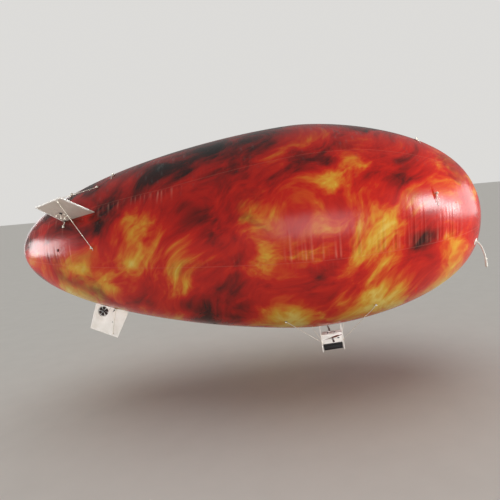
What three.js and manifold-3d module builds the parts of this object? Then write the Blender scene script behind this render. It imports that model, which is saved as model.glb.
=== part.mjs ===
// Radio controlled advertising blimp: a printed film envelope with three foam fins, a tail
// rotor and a gondola slung under its belly.
// Millimetres, +Z up, nose to +X, left side to +Y. The origin is on the long axis, half way
// from tail to nose. A clock angle is measured round the long axis: 0 is the right side,
// 90 the top, 180 the left side and -90 the belly.

import * as THREE from "three";
import { mergeVertices } from "three/addons/utils/BufferGeometryUtils.js";
import Module from "manifold-3d";

const wasm = await Module();
wasm.setup();

// Driving dimensions
const GAP = 0.3;
const RUNNING_GAP = 0.4;

const ENVELOPE = {
  radius: 1250,
  noseLength: 2100,
  tailLength: 3500,
  nosePower: 1.71,
  noseRoot: 2.55,
  tailPower: 1.5,
  tailRoot: 1.98,
  wall: 10,
  noseSteps: 11,
  tailSteps: 13,
  sides: 40,
};

const PATCH = {
  thickness: 3,
  radius: 30,
  sides: 12,
  sagShare: 0.2,
  poleRadius: 150,
  poleReach: 200,
  poleMargin: 20,
  poleSides: 24,
};

const SLEEVE = {
  station: 2600,
  clock: -29,
  holeRadius: 22,
  rootRadius: 9,
  tipRadius: 14,
  tipOverlap: 12,
  tipLean: 3,
  tipLength: 34,
  collarRadius: 40,
  tieRadius: 3,
};

const FIN = {
  station: -1815,
  tilt: 25,
  rootChord: 432,
  tipChord: 368,
  span: 389,
  buried: 90,
  thickness: 12,
  padWidth: 76,
  padMargin: 15,
};

const STAY = {
  clipAlong: 114,
  clipInset: 30,
  clipRadius: 11,
  clipHeight: 8,
  ropeRadius: 4,
  patchStation: -1646,
  patchSwing: 27,
};

const TAIL_ROTOR = {
  along: -96,
  out: 125,
  holeRadius: 70,
  ringWall: 2.4,
  armWidth: 6,
  armThickness: 3,
  armAngles: [105, 225, 345],
  seatRadius: 13,
  motorRadius: 11,
  motorLength: 20,
  shaftRadius: 1.5,
  shaftLength: 33,
};

const TAIL_FAN = {
  radius: 61,
  blades: 6,
  firstAngle: 19,
  chord: 40,
  thickness: 1.6,
  pitch: 12,
  rootChord: 9,
  hubRadius: 10,
  hubHeight: 8,
  level: 8,
};

const GONDOLA = {
  station: 938,
  drop: 1445,
  pitch: 4,
  plateSpacing: 273,
  plateThickness: 8,
  plateHalfWidth: 65,
  webMargin: 6,
  boxWidth: 120,
  boxHeight: 118,
  wall: 5,
  bushingRadius: 12,
  bushingReach: 8,
  legWidth: 26,
  legReach: 165,
  toeChamfer: 8,
  toeTaper: 6,
  hornWidth: 24,
  hornTop: 260,
  cornerRadius: 16,
  footLength: 26,
  footHeight: 30,
  footSink: 8,
  footShift: 9,
  padLength: 60,
  padMargin: 15,
  padReach: 120,
  podLength: 240,
  podWidth: 104,
  podHeight: 90,
  podCorner: 12,
};

const KNOB = { radius: 8, height: 14, sides: 14, stations: [-46, 44], side: -30 };

const THRUST = {
  shaftHeight: 13,
  shaftRadius: 4,
  shaftEnd: 15,
  motorSpan: 200,
  lean: 10,
  clampSize: 24,
  clampWidth: 20,
  motorRadius: 14,
  motorBottom: 8,
  motorTop: 38,
  spindleRadius: 2,
  spindleTop: 54,
};

const PROPELLER = {
  radius: 125,
  blades: 2,
  firstAngle: 0,
  chord: 24,
  thickness: 2.4,
  pitch: 16,
  rootChord: 9,
  hubRadius: 9,
  hubHeight: 10,
  level: 48,
};

// Sides of the thrust unit: columns are name, side, and the angle the propeller has stopped at
const THRUST_SIDES = [
  ["left", 1, 90],
  ["right", -1, 0],
];

// Outlines of the blades, out along one edge and back along the other. Columns are a curve's
// control point and its end point, each as a share of the blade's length and of its chord.
const SLIM_BLADE = [
  [0.3, -0.62, 0.6, -0.45],
  [0.96, -0.3, 1, 0],
  [0.9, 0.42, 0.5, 0.45],
  [0.2, 0.42, 0, 0.2],
];
const PETAL_BLADE = [
  [0.36, -0.3, 0.62, -0.46],
  [0.94, -0.54, 1, 0],
  [0.94, 0.54, 0.62, 0.46],
  [0.36, 0.3, 0, 0.14],
];

const ROPE = { radius: 3.5, clearance: 1.5, sides: 6, bead: 9, lift: 3, steps: 10 };
const LOOP = { radius: 16, height: 22.4, wire: 3, sides: 6, steps: 8, points: 4 };

// How far a piece that is trimmed to the skin starts below it.
const ROOT_DEPTH = 10;

// Colours seen in the picture
const FINISH = {
  film: finish(0xc4401c, 0.22, 0),
  patch: finish(0x8c2a1c, 0.6, 0),
  white: finish(0xe6e2dc, 0.55, 0),
  black: finish(0x1b1c1e, 0.5, 0),
  rope: finish(0xe4ded2, 0.8, 0),
  metal: finish(0x8f9194, 0.35, 0.9),
  carbon: finish(0x26282a, 0.4, 0),
  blade: finish(0x6b4a3a, 0.35, 0),
};

function finish(color, roughness, metalness) {
  return new THREE.MeshStandardMaterial({ color, roughness, metalness });
}

function mesh(name, geometry, material) {
  const made = new THREE.Mesh(geometry, material);
  made.name = name;
  return made;
}

function radians(degrees) {
  return THREE.MathUtils.degToRad(degrees);
}

// Solids and cuts
function solidOf(geometry) {
  const bare = new THREE.BufferGeometry();
  bare.setAttribute("position", geometry.getAttribute("position"));
  bare.setIndex(geometry.index);
  const merged = mergeVertices(bare, 1e-3);
  return new wasm.Manifold(
    new wasm.Mesh({
      numProp: 3,
      vertProperties: merged.attributes.position.array,
      triVerts: new Uint32Array(merged.index.array),
    }),
  );
}

function geometryOf(solid) {
  const shape = solid.getMesh();
  const geometry = new THREE.BufferGeometry();
  geometry.setAttribute("position", new THREE.BufferAttribute(shape.vertProperties, 3));
  geometry.setIndex(new THREE.BufferAttribute(shape.triVerts, 1));
  geometry.computeVertexNormals();
  return geometry;
}

function join(...geometries) {
  const solids = geometries.map(solidOf);
  return geometryOf(solids.reduce((sum, next) => sum.add(next)));
}

function cut(geometry, ...tools) {
  return geometryOf(tools.reduce((left, tool) => left.subtract(solidOf(tool)), solidOf(geometry)));
}

function overlap(geometry, other) {
  return geometryOf(solidOf(geometry).intersect(solidOf(other)));
}

// Simple shapes, each placed by its centre
function block(length, width, height, x = 0, y = 0, z = 0) {
  return new THREE.BoxGeometry(length, width, height).translate(x, y, z);
}

// A round bar whose axis runs along direction, from one point to another.
function bar(from, to, radius, sides = ROPE.sides) {
  const along = new THREE.Vector3().subVectors(to, from);
  const geometry = new THREE.CylinderGeometry(radius, radius, along.length(), sides);
  const turn = new THREE.Quaternion().setFromUnitVectors(
    new THREE.Vector3(0, 1, 0),
    along.clone().normalize(),
  );
  geometry.applyQuaternion(turn);
  const middle = new THREE.Vector3().addVectors(from, to).multiplyScalar(0.5);
  return geometry.translate(middle.x, middle.y, middle.z);
}

// A tube of round section that follows a list of points. A circle takes two segments a side.
function tube(points, radius, sides, steps) {
  const section = new THREE.Shape();
  section.absarc(0, 0, radius, 0, 2 * Math.PI, false);
  return new THREE.ExtrudeGeometry(section, {
    steps,
    curveSegments: sides / 2,
    extrudePath: new THREE.CatmullRomCurve3(points, false, "centripetal"),
  });
}

// The envelope's form
const widest = (ENVELOPE.tailLength - ENVELOPE.noseLength) / 2;

// Radius of the skin, raised by an offset, at a station along the long axis.
function skinRadius(station, offset = 0) {
  const run = station - widest;
  const ahead = run >= 0;
  const reach = (ahead ? ENVELOPE.noseLength : ENVELOPE.tailLength) + offset;
  const power = ahead ? ENVELOPE.nosePower : ENVELOPE.tailPower;
  const root = ahead ? ENVELOPE.noseRoot : ENVELOPE.tailRoot;
  const share = Math.min(Math.abs(run) / reach, 1);
  return (ENVELOPE.radius + offset) * (1 - share ** power) ** (1 / root);
}

// The closed outer form of the skin, raised by an offset.
function skinForm(offset = 0) {
  const { noseLength, tailLength, noseSteps, tailSteps, sides } = ENVELOPE;
  const stations = [];
  for (let i = 0; i <= tailSteps; i += 1) {
    stations.push(widest - (tailLength + offset) * Math.cos((i / tailSteps) * Math.PI * 0.5));
  }
  for (let i = 1; i <= noseSteps; i += 1) {
    stations.push(widest + (noseLength + offset) * Math.sin((i / noseSteps) * Math.PI * 0.5));
  }
  const last = stations.length - 1;
  const profile = stations.map((station, i) => {
    const radius = i === 0 || i === last ? 0 : skinRadius(station, offset);
    return new THREE.Vector2(radius, station);
  });
  return new THREE.LatheGeometry(profile, sides).rotateZ(-Math.PI / 2);
}

function outward(clock) {
  return new THREE.Vector3(0, -Math.cos(radians(clock)), Math.sin(radians(clock)));
}

function onSkin(station, clock, offset = 0) {
  return outward(clock).multiplyScalar(skinRadius(station) + offset).setX(station);
}

function skinNormal(station, clock) {
  const step = 1;
  const slope = (skinRadius(station + step) - skinRadius(station - step)) / (2 * step);
  return outward(clock).setX(-slope).normalize();
}

const skinBase = skinForm(GAP);
const skinSheet = cut(skinForm(GAP + PATCH.thickness), skinBase);
const padTop = skinForm(2 * GAP + PATCH.thickness);

// The part of the thin outer sheet that a shape covers.
function patchUnder(shape) {
  return overlap(skinSheet, shape);
}

// A round patch, as a disc of the sheet under a short bar on the skin's normal.
function roundPatch(station, clock, radius) {
  const centre = onSkin(station, clock);
  const normal = skinNormal(station, clock);
  const depth = 6 * PATCH.thickness + radius * PATCH.sagShare;
  const from = centre.clone().addScaledVector(normal, -depth);
  const to = centre.clone().addScaledVector(normal, depth);
  return patchUnder(bar(from, to, radius, PATCH.sides));
}

function bead(centre, radius = ROPE.bead) {
  return new THREE.SphereGeometry(radius, 6, 4).translate(centre.x, centre.y, centre.z);
}

// Envelope, its end patches and the filler sleeve
const sleeveRoot = onSkin(SLEEVE.station, SLEEVE.clock);
const sleeveNormal = skinNormal(SLEEVE.station, SLEEVE.clock);

function fillerHole() {
  const from = sleeveRoot.clone().addScaledVector(sleeveNormal, -4 * ENVELOPE.wall);
  const to = sleeveRoot.clone().addScaledVector(sleeveNormal, 2 * ENVELOPE.wall);
  return bar(from, to, SLEEVE.holeRadius, PATCH.sides);
}

function makeEnvelope() {
  const shell = cut(skinForm(), skinForm(-ENVELOPE.wall), fillerHole());
  return mesh("envelope", shell, FINISH.film);
}

function makePolePatch(name, station, reach) {
  const far = new THREE.Vector3(station, 0, 0);
  const near = new THREE.Vector3(reach, 0, 0);
  return mesh(name, patchUnder(bar(near, far, PATCH.poleRadius, PATCH.poleSides)), FINISH.patch);
}

// The sleeve's route: columns are the distance out along the skin's normal and the drop
const SLEEVE_ROUTE = [
  [-ROOT_DEPTH, 0],
  [30, 8],
  [62, 38],
  [88, 92],
  [106, 160],
  [112, 228],
];

function sleevePoints() {
  return SLEEVE_ROUTE.map(([out, drop]) => {
    const point = sleeveRoot.clone().addScaledVector(sleeveNormal, out);
    point.z -= drop;
    return point;
  });
}

function makeSleeve() {
  const collar = roundPatch(SLEEVE.station, SLEEVE.clock, SLEEVE.collarRadius);
  const points = sleevePoints();
  const body = tube(points, SLEEVE.rootRadius, 10, 16);
  const tip = points[points.length - 1];
  const start = tip.clone().add(new THREE.Vector3(0, 0, SLEEVE.tipOverlap));
  const end = tip.clone().add(new THREE.Vector3(SLEEVE.tipLean, 0, -SLEEVE.tipLength));
  const bag = bar(start, end, SLEEVE.tipRadius, 10);
  return mesh("filler_sleeve", cut(join(collar, body, bag), skinBase), FINISH.white);
}

function makeSleeveTie() {
  const points = sleevePoints();
  const place = points[points.length - 2];
  const along = new THREE.Vector3().subVectors(points[points.length - 1], points[points.length - 3]);
  const inner = SLEEVE.rootRadius + 2 * GAP;
  const ring = new THREE.TorusGeometry(inner + SLEEVE.tieRadius, SLEEVE.tieRadius, 6, 16);
  const turn = new THREE.Quaternion().setFromUnitVectors(
    new THREE.Vector3(0, 0, 1),
    along.normalize(),
  );
  ring.applyQuaternion(turn).translate(place.x, place.y, place.z);
  return mesh("filler_tie", ring, FINISH.rope);
}

// Fins: columns are name and clock angle
const FINS = [
  ["right", 30],
  ["left", 150],
  ["lower", -90],
];

// Fin axes: X forward along the root, Y out along the span, Z through the thickness.
function finFrame(clock) {
  const radial = outward(clock);
  const ahead = new THREE.Vector3(1, 0, 0);
  const tilt = radians(FIN.tilt);
  const along = ahead.clone().multiplyScalar(Math.cos(tilt)).addScaledVector(radial, Math.sin(tilt));
  const out = radial.clone().multiplyScalar(Math.cos(tilt)).addScaledVector(ahead, -Math.sin(tilt));
  const across = new THREE.Vector3().crossVectors(along, out);
  return new THREE.Matrix4().makeBasis(along, out, across).setPosition(onSkin(FIN.station, clock));
}

function finOutline(withRotor) {
  const halfAt = (out) => (FIN.rootChord + ((FIN.tipChord - FIN.rootChord) * out) / FIN.span) / 2;
  const outline = new THREE.Shape();
  outline.moveTo(-halfAt(-FIN.buried), -FIN.buried);
  outline.lineTo(halfAt(-FIN.buried), -FIN.buried);
  outline.lineTo(halfAt(FIN.span), FIN.span);
  outline.lineTo(-halfAt(FIN.span), FIN.span);
  if (withRotor) {
    const hole = new THREE.Path();
    hole.absarc(TAIL_ROTOR.along, TAIL_ROTOR.out, TAIL_ROTOR.holeRadius, 0, 2 * Math.PI, true);
    outline.holes.push(hole);
  }
  return outline;
}

function makeFin(name, clock) {
  const frame = finFrame(clock);
  const board = new THREE.ExtrudeGeometry(finOutline(name === "lower"), {
    depth: FIN.thickness,
    bevelEnabled: false,
    curveSegments: 16,
  }).translate(0, 0, -FIN.thickness / 2);
  board.applyMatrix4(frame);
  return mesh("fin_" + name, cut(board, padTop), FINISH.white);
}

function makeFinPad(name, clock) {
  const strip = block(FIN.rootChord + 2 * FIN.padMargin, 2 * FIN.buried, FIN.padWidth);
  strip.applyMatrix4(finFrame(clock));
  return mesh("fin_pad_" + name, patchUnder(strip), FINISH.patch);
}

// A stay runs from a clip on the fin's face to a patch on the skin beside the fin.
function makeStay(name, clock, side) {
  const frame = finFrame(clock);
  const face = side * (FIN.thickness / 2 + GAP);
  const out = FIN.span - STAY.clipInset;
  const foot = new THREE.Vector3(STAY.clipAlong, out, face).applyMatrix4(frame);
  const head = new THREE.Vector3(STAY.clipAlong, out, face + side * STAY.clipHeight).applyMatrix4(frame);
  const patchClock = clock - side * STAY.patchSwing;
  const anchor = onSkin(STAY.patchStation, patchClock, ROPE.lift);
  const shape = join(
    bar(foot, head, STAY.clipRadius, 12),
    bar(head, anchor, STAY.ropeRadius),
    bead(anchor),
    roundPatch(STAY.patchStation, patchClock, PATCH.radius),
  );
  return mesh("fin_stay_" + name, cut(shape, skinBase), FINISH.rope);
}

// Tail rotor, in the lower fin's round hole; its axis runs across the fin.
function tailRotorFrame() {
  const place = new THREE.Matrix4().makeTranslation(TAIL_ROTOR.along, TAIL_ROTOR.out, 0);
  return finFrame(FINS[2][1]).multiply(place);
}

function ring(outer, inner, height, z, sides = 32) {
  const profile = [
    new THREE.Vector2(inner, -height / 2),
    new THREE.Vector2(outer, -height / 2),
    new THREE.Vector2(outer, height / 2),
    new THREE.Vector2(inner, height / 2),
    new THREE.Vector2(inner, -height / 2),
  ];
  return new THREE.LatheGeometry(profile, sides).rotateX(Math.PI / 2).translate(0, 0, z);
}

function disc(radius, height, z, sides = 20) {
  return new THREE.CylinderGeometry(radius, radius, height, sides)
    .rotateX(Math.PI / 2)
    .translate(0, 0, z);
}

const armLevel = -(FIN.thickness - TAIL_ROTOR.armThickness) / 2;

function makeTailMount() {
  const outer = TAIL_ROTOR.holeRadius - 2 * GAP;
  const parts = [
    ring(outer, outer - TAIL_ROTOR.ringWall, FIN.thickness, 0),
    disc(TAIL_ROTOR.seatRadius, TAIL_ROTOR.armThickness, armLevel),
  ];
  const reach = outer - TAIL_ROTOR.ringWall / 2;
  for (const angle of TAIL_ROTOR.armAngles) {
    const arm = block(reach, TAIL_ROTOR.armWidth, TAIL_ROTOR.armThickness, reach / 2, 0, armLevel);
    parts.push(arm.rotateZ(radians(angle)));
  }
  const bore = disc(TAIL_ROTOR.shaftRadius + RUNNING_GAP, 4 * TAIL_ROTOR.armThickness, armLevel, 12);
  return mesh("tail_motor_mount", cut(join(...parts), bore), FINISH.white);
}

function makeTailMotor() {
  const back = armLevel - TAIL_ROTOR.armThickness / 2 - GAP;
  const length = TAIL_ROTOR.motorLength;
  const spindle = TAIL_ROTOR.shaftLength;
  const body = join(
    disc(TAIL_ROTOR.motorRadius, length, back - length / 2),
    disc(TAIL_ROTOR.shaftRadius, spindle, back - length / 2 + spindle / 2, 8),
  );
  return mesh("tail_motor", body, FINISH.metal);
}

// A flat blade that follows an outline, pitched about its own length.
function blade(curves, { radius, chord, thickness, pitch, rootChord }) {
  const outline = new THREE.Shape();
  outline.moveTo(0, -rootChord / 2);
  for (const [controlX, controlY, endX, endY] of curves) {
    outline.quadraticCurveTo(controlX * radius, controlY * chord, endX * radius, endY * chord);
  }
  return new THREE.ExtrudeGeometry(outline, {
    depth: thickness,
    bevelEnabled: false,
    curveSegments: 5,
  })
    .translate(0, 0, -thickness / 2)
    .rotateX(radians(pitch));
}

// Blades set evenly round a bored hub.
function propeller(curves, size, boreRadius) {
  const parts = [disc(size.hubRadius, size.hubHeight, 0)];
  for (let i = 0; i < size.blades; i += 1) {
    const angle = size.firstAngle + (i / size.blades) * 360;
    parts.push(blade(curves, size).rotateZ(radians(angle)));
  }
  const bored = cut(join(...parts), disc(boreRadius, 2 * size.hubHeight, 0, 10));
  return bored.translate(0, 0, size.level);
}

function makeTailPropeller() {
  const shape = propeller(PETAL_BLADE, TAIL_FAN, TAIL_ROTOR.shaftRadius + RUNNING_GAP);
  return mesh("tail_propeller", shape, FINISH.blade);
}

function makeTailRotor() {
  const group = new THREE.Group();
  group.applyMatrix4(tailRotorFrame());
  group.add(makeTailMount(), makeTailMotor(), makeTailPropeller());
  return group;
}

// Gondola: its group is pitched to lie along the belly. Its origin is the box's centre.
function gondolaFrame() {
  const turn = new THREE.Matrix4().makeRotationY(radians(-GONDOLA.pitch));
  return turn.setPosition(GONDOLA.station, 0, -GONDOLA.drop);
}

const bellyInGondola = padTop.clone().applyMatrix4(gondolaFrame().invert());
const boxLength = GONDOLA.plateSpacing - GONDOLA.plateThickness - 2 * GAP;
const boxTop = GONDOLA.boxHeight / 2;

// One end plate seen from the front: a web with two horns up and two legs down.
function plateOutline(top) {
  const { plateHalfWidth, legWidth, legReach, toeChamfer, toeTaper, hornWidth, cornerRadius } = GONDOLA;
  const web = boxTop + GONDOLA.webMargin;
  const outline = new THREE.Shape();
  outline.moveTo(-plateHalfWidth, top);
  outline.lineTo(-plateHalfWidth, -legReach + toeChamfer);
  outline.lineTo(-plateHalfWidth + toeChamfer, -legReach);
  outline.lineTo(-plateHalfWidth + legWidth - toeTaper, -legReach);
  const inLeg = plateHalfWidth - legWidth;
  outline.lineTo(-inLeg, -web - cornerRadius);
  outline.quadraticCurveTo(-inLeg, -web, -inLeg + cornerRadius, -web);
  outline.lineTo(inLeg - cornerRadius, -web);
  outline.quadraticCurveTo(inLeg, -web, inLeg, -web - cornerRadius);
  outline.lineTo(plateHalfWidth - legWidth + toeTaper, -legReach);
  outline.lineTo(plateHalfWidth - toeChamfer, -legReach);
  outline.lineTo(plateHalfWidth, -legReach + toeChamfer);
  outline.lineTo(plateHalfWidth, top);
  const inHorn = plateHalfWidth - hornWidth;
  outline.lineTo(inHorn, top);
  outline.lineTo(inHorn, web + cornerRadius);
  outline.quadraticCurveTo(inHorn, web, inHorn - cornerRadius, web);
  outline.lineTo(-inHorn + cornerRadius, web);
  outline.quadraticCurveTo(-inHorn, web, -inHorn, web + cornerRadius);
  outline.lineTo(-inHorn, top);
  return outline;
}

function makePlate(name, end) {
  const { plateThickness, plateHalfWidth, hornWidth, footLength, footHeight } = GONDOLA;
  const x = (end * GONDOLA.plateSpacing) / 2;
  const plate = new THREE.ExtrudeGeometry(plateOutline(GONDOLA.hornTop), {
    depth: plateThickness,
    bevelEnabled: false,
    curveSegments: 4,
  });
  // The outline's X becomes gondola Y, its Y becomes Z and the thickness runs along X.
  plate.rotateX(Math.PI / 2).rotateZ(Math.PI / 2);
  plate.translate(x - plateThickness / 2, 0, 0);
  const footX = x + end * GONDOLA.footShift;
  const footZ = GONDOLA.drop - skinRadius(GONDOLA.station + x) - GONDOLA.footSink;
  const feet = [];
  for (const side of [-1, 1]) {
    const y = side * (plateHalfWidth - hornWidth / 2);
    feet.push(block(footLength, hornWidth, footHeight, footX, y, footZ));
  }
  return mesh("gondola_plate_" + name, cut(join(plate, ...feet), bellyInGondola), FINISH.white);
}

function makeGondolaPad(name, end) {
  const x = end * (GONDOLA.plateSpacing / 2 + GONDOLA.footShift);
  const z = GONDOLA.drop - skinRadius(GONDOLA.station);
  const width = 2 * (GONDOLA.plateHalfWidth + GONDOLA.padMargin);
  const strip = block(GONDOLA.padLength, width, GONDOLA.padReach, x, 0, z);
  strip.applyMatrix4(gondolaFrame());
  return mesh("gondola_pad_" + name, patchUnder(strip), FINISH.patch);
}

function crossBar(radius, length, sides = 16) {
  return new THREE.CylinderGeometry(radius, radius, length, sides).translate(0, 0, THRUST.shaftHeight);
}

function makeBox() {
  const { boxWidth, boxHeight, wall, bushingRadius, bushingReach } = GONDOLA;
  const outer = block(boxLength, boxWidth, boxHeight);
  const inner = block(boxLength - 2 * wall, boxWidth - 2 * wall, boxHeight, 0, 0, wall);
  const bushing = crossBar(bushingRadius, boxWidth + 2 * bushingReach, 20);
  const tray = cut(join(outer, bushing), inner, crossBar(THRUST.shaftRadius + RUNNING_GAP, 2 * boxWidth));
  return mesh("gondola_box", tray, FINISH.white);
}

function makeLid() {
  const plate = block(boxLength, GONDOLA.boxWidth, GONDOLA.wall, 0, 0, boxTop + GONDOLA.wall / 2 + GAP);
  const level = boxTop + GONDOLA.wall + GAP + KNOB.height / 2 - 1;
  const knobs = KNOB.stations.map((x) =>
    disc(KNOB.radius, KNOB.height, level, KNOB.sides).translate(x, KNOB.side, 0),
  );
  return mesh("gondola_lid", join(plate, ...knobs), FINISH.white);
}

function makePod() {
  const { podLength, podWidth, podHeight, podCorner } = GONDOLA;
  const half = podWidth / 2;
  const top = -boxTop - GAP;
  const bottom = top - podHeight;
  const outline = new THREE.Shape();
  outline.moveTo(-half, top);
  outline.lineTo(-half, bottom + podCorner);
  outline.quadraticCurveTo(-half, bottom, -half + podCorner, bottom);
  outline.lineTo(half - podCorner, bottom);
  outline.quadraticCurveTo(half, bottom, half, bottom + podCorner);
  outline.lineTo(half, top);
  const pod = new THREE.ExtrudeGeometry(outline, { depth: podLength, bevelEnabled: false, curveSegments: 4 });
  pod.rotateX(Math.PI / 2).rotateZ(Math.PI / 2).translate(-podLength / 2, 0, 0);
  return mesh("battery_pod", pod, FINISH.black);
}

// Thrust unit: one cross shaft with a motor on each end. Its own Z is the thrust line.
function thrustFrame(side) {
  const lean = new THREE.Matrix4().makeRotationY(radians(-THRUST.lean));
  return lean.setPosition(0, side * THRUST.motorSpan, THRUST.shaftHeight);
}

function makeShaft() {
  const length = 2 * (THRUST.motorSpan + THRUST.shaftEnd);
  return mesh("cross_shaft", crossBar(THRUST.shaftRadius, length), FINISH.carbon);
}

function makeMotor(name) {
  const { clampSize: size, motorBottom, motorTop, spindleTop } = THRUST;
  const body = join(
    block(size, THRUST.clampWidth, size),
    disc(THRUST.motorRadius, motorTop - motorBottom, (motorTop + motorBottom) / 2),
    disc(THRUST.spindleRadius, spindleTop - motorBottom, (spindleTop + motorBottom) / 2, 8),
  );
  const seat = new THREE.CylinderGeometry(THRUST.shaftRadius + GAP, THRUST.shaftRadius + GAP, 2 * size, 16);
  return mesh(name + "_motor", cut(body, seat), FINISH.metal);
}

function makePropeller(name, stoppedAt) {
  const shape = propeller(SLIM_BLADE, PROPELLER, THRUST.spindleRadius + RUNNING_GAP);
  return mesh(name + "_propeller", shape.rotateZ(radians(stoppedAt)), FINISH.blade);
}

function makeThrustSide(name, side, stoppedAt) {
  const group = new THREE.Group();
  group.applyMatrix4(thrustFrame(side));
  group.add(makeMotor(name), makePropeller(name, stoppedAt));
  return group;
}

function makeGondola() {
  const group = new THREE.Group();
  group.applyMatrix4(gondolaFrame());
  group.add(makePlate("front", 1), makePlate("rear", -1), makeBox(), makeLid(), makePod());
  group.add(makeShaft());
  for (const [name, side, stoppedAt] of THRUST_SIDES) {
    group.add(makeThrustSide(name, side, stoppedAt));
  }
  return group;
}

// Guy ropes: columns are name, end of the gondola, side, patch station, patch clock angle
const GUYS = [
  ["front_right", 1, -1, 1363, -46],
  ["front_left", 1, 1, 1363, -134],
  ["rear_right", -1, -1, 370, -52],
  ["rear_left", -1, 1, 370, -128],
];

// A rope point is pushed out of the skin wherever the straight line would run through it.
function ropeOverSkin(from, to) {
  const points = [];
  for (let i = 0; i <= ROPE.steps; i += 1) {
    const point = from.clone().lerp(to, i / ROPE.steps);
    const least = skinRadius(point.x, ROPE.radius + ROPE.clearance + GAP);
    const out = Math.hypot(point.y, point.z);
    if (out < least) {
      point.y *= least / out;
      point.z *= least / out;
    }
    points.push(point);
  }
  return points;
}

function makeGuy(name, end, side, station, clock) {
  const x = end * (GONDOLA.plateSpacing / 2);
  const y = side * (GONDOLA.plateHalfWidth + ROPE.bead + GAP);
  const foot = new THREE.Vector3(x, y, -30).applyMatrix4(gondolaFrame());
  const anchor = onSkin(station, clock, ROPE.lift);
  const shape = join(
    bead(foot),
    tube(ropeOverSkin(foot, anchor), ROPE.radius, ROPE.sides, ROPE.steps),
    bead(anchor),
    roundPatch(station, clock, PATCH.radius),
  );
  return mesh("gondola_guy_" + name, cut(shape, skinBase), FINISH.rope);
}

// Suspension patches, each with a loop: columns are name, station, clock angle
const SUSPENSION = [
  ["front_side_right", 2037, 18],
  ["front_side_left", 2037, 162],
  ["front_top_right", 2060, 72],
  ["front_top_left", 2060, 108],
  ["rear_top_right", -1500, 70],
  ["rear_top_left", -1500, 110],
  ["tail_top_right", -2040, 70],
  ["tail_top_left", -2040, 110],
];

function makeSuspension(name, station, clock) {
  const normal = skinNormal(station, clock);
  const base = onSkin(station, clock, -ROOT_DEPTH);
  const ahead = new THREE.Vector3(1, 0, 0).addScaledVector(normal, -normal.x).normalize();
  const points = [];
  for (let i = 0; i <= LOOP.points; i += 1) {
    const turn = (i / LOOP.points) * Math.PI;
    const point = base.clone().addScaledVector(ahead, -LOOP.radius * Math.cos(turn));
    points.push(point.addScaledVector(normal, (LOOP.height + ROOT_DEPTH) * Math.sin(turn)));
  }
  const loop = tube(points, LOOP.wire, LOOP.sides, LOOP.steps);
  const shape = join(roundPatch(station, clock, PATCH.radius), loop);
  return mesh("suspension_patch_" + name, cut(shape, skinBase), FINISH.patch);
}

// The whole blimp
const blimp = new THREE.Group();
const noseTip = widest + ENVELOPE.noseLength;
const tailTip = widest - ENVELOPE.tailLength;
blimp.add(makeEnvelope());
blimp.add(makePolePatch("nose_patch", noseTip + PATCH.poleMargin, noseTip - PATCH.poleReach));
blimp.add(makePolePatch("tail_patch", tailTip - PATCH.poleMargin, tailTip + PATCH.poleReach));
blimp.add(makeSleeve(), makeSleeveTie());
for (const [name, clock] of FINS) {
  blimp.add(makeFin(name, clock), makeFinPad(name, clock));
  blimp.add(makeStay(name + "_a", clock, -1), makeStay(name + "_b", clock, 1));
}
blimp.add(makeTailRotor(), makeGondola());
blimp.add(makeGondolaPad("front", 1), makeGondolaPad("rear", -1));
for (const row of GUYS) {
  blimp.add(makeGuy(...row));
}
for (const row of SUSPENSION) {
  blimp.add(makeSuspension(...row));
}

export default blimp;
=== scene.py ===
import math
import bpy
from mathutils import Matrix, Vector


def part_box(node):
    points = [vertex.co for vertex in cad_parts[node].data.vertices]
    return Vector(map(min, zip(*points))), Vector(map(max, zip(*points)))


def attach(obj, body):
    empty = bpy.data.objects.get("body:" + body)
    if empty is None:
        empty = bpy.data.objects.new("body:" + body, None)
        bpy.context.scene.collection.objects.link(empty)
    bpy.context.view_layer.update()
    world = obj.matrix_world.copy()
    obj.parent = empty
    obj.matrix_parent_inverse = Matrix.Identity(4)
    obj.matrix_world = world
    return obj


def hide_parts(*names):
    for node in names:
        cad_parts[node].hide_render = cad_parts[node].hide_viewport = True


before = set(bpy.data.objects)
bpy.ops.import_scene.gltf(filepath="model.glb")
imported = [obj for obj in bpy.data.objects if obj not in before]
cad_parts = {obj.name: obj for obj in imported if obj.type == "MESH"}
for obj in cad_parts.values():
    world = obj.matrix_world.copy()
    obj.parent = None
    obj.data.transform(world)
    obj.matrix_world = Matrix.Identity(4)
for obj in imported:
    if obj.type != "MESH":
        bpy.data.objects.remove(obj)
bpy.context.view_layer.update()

from types import SimpleNamespace as Table

import bmesh
import bpy
import numpy as np
from mathutils import Matrix, Vector

# Looks of an advertising blimp: a printed film envelope, foam fins, a tail rotor and a gondola.
# Metres, +X to the nose, +Y to the left side, +Z up. A clock angle is measured round the long
# axis: 0 is the right side, 90 the top, 180 the left side and -90 the belly.

# The photograph's viewpoint, from the envelope's outline and the fins' corners
CAMERA = Table(
    place=(0.372, -5.638, 0.441),
    heading=0.81,
    elevation=-6.13,
    roll=-5.12,
    lens=32.4,
    sensor=36.0,
    shift_x=-0.046,
    shift_y=-0.014,
    far=500,
)


def set_camera():
    data = bpy.data.cameras.new("camera")
    data.lens = CAMERA.lens
    data.sensor_width = CAMERA.sensor
    data.shift_x = CAMERA.shift_x
    data.shift_y = CAMERA.shift_y
    data.clip_end = CAMERA.far
    camera = bpy.data.objects.new("camera", data)
    bpy.context.scene.collection.objects.link(camera)
    heading = Matrix.Rotation(math.radians(CAMERA.heading), 4, "Z")
    tilt = Matrix.Rotation(math.radians(90 + CAMERA.elevation), 4, "X")
    roll = Matrix.Rotation(math.radians(CAMERA.roll), 4, "Z")
    camera.matrix_world = Matrix.Translation(CAMERA.place) @ heading @ tilt @ roll
    bpy.context.scene.camera = camera


set_camera()

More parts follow.
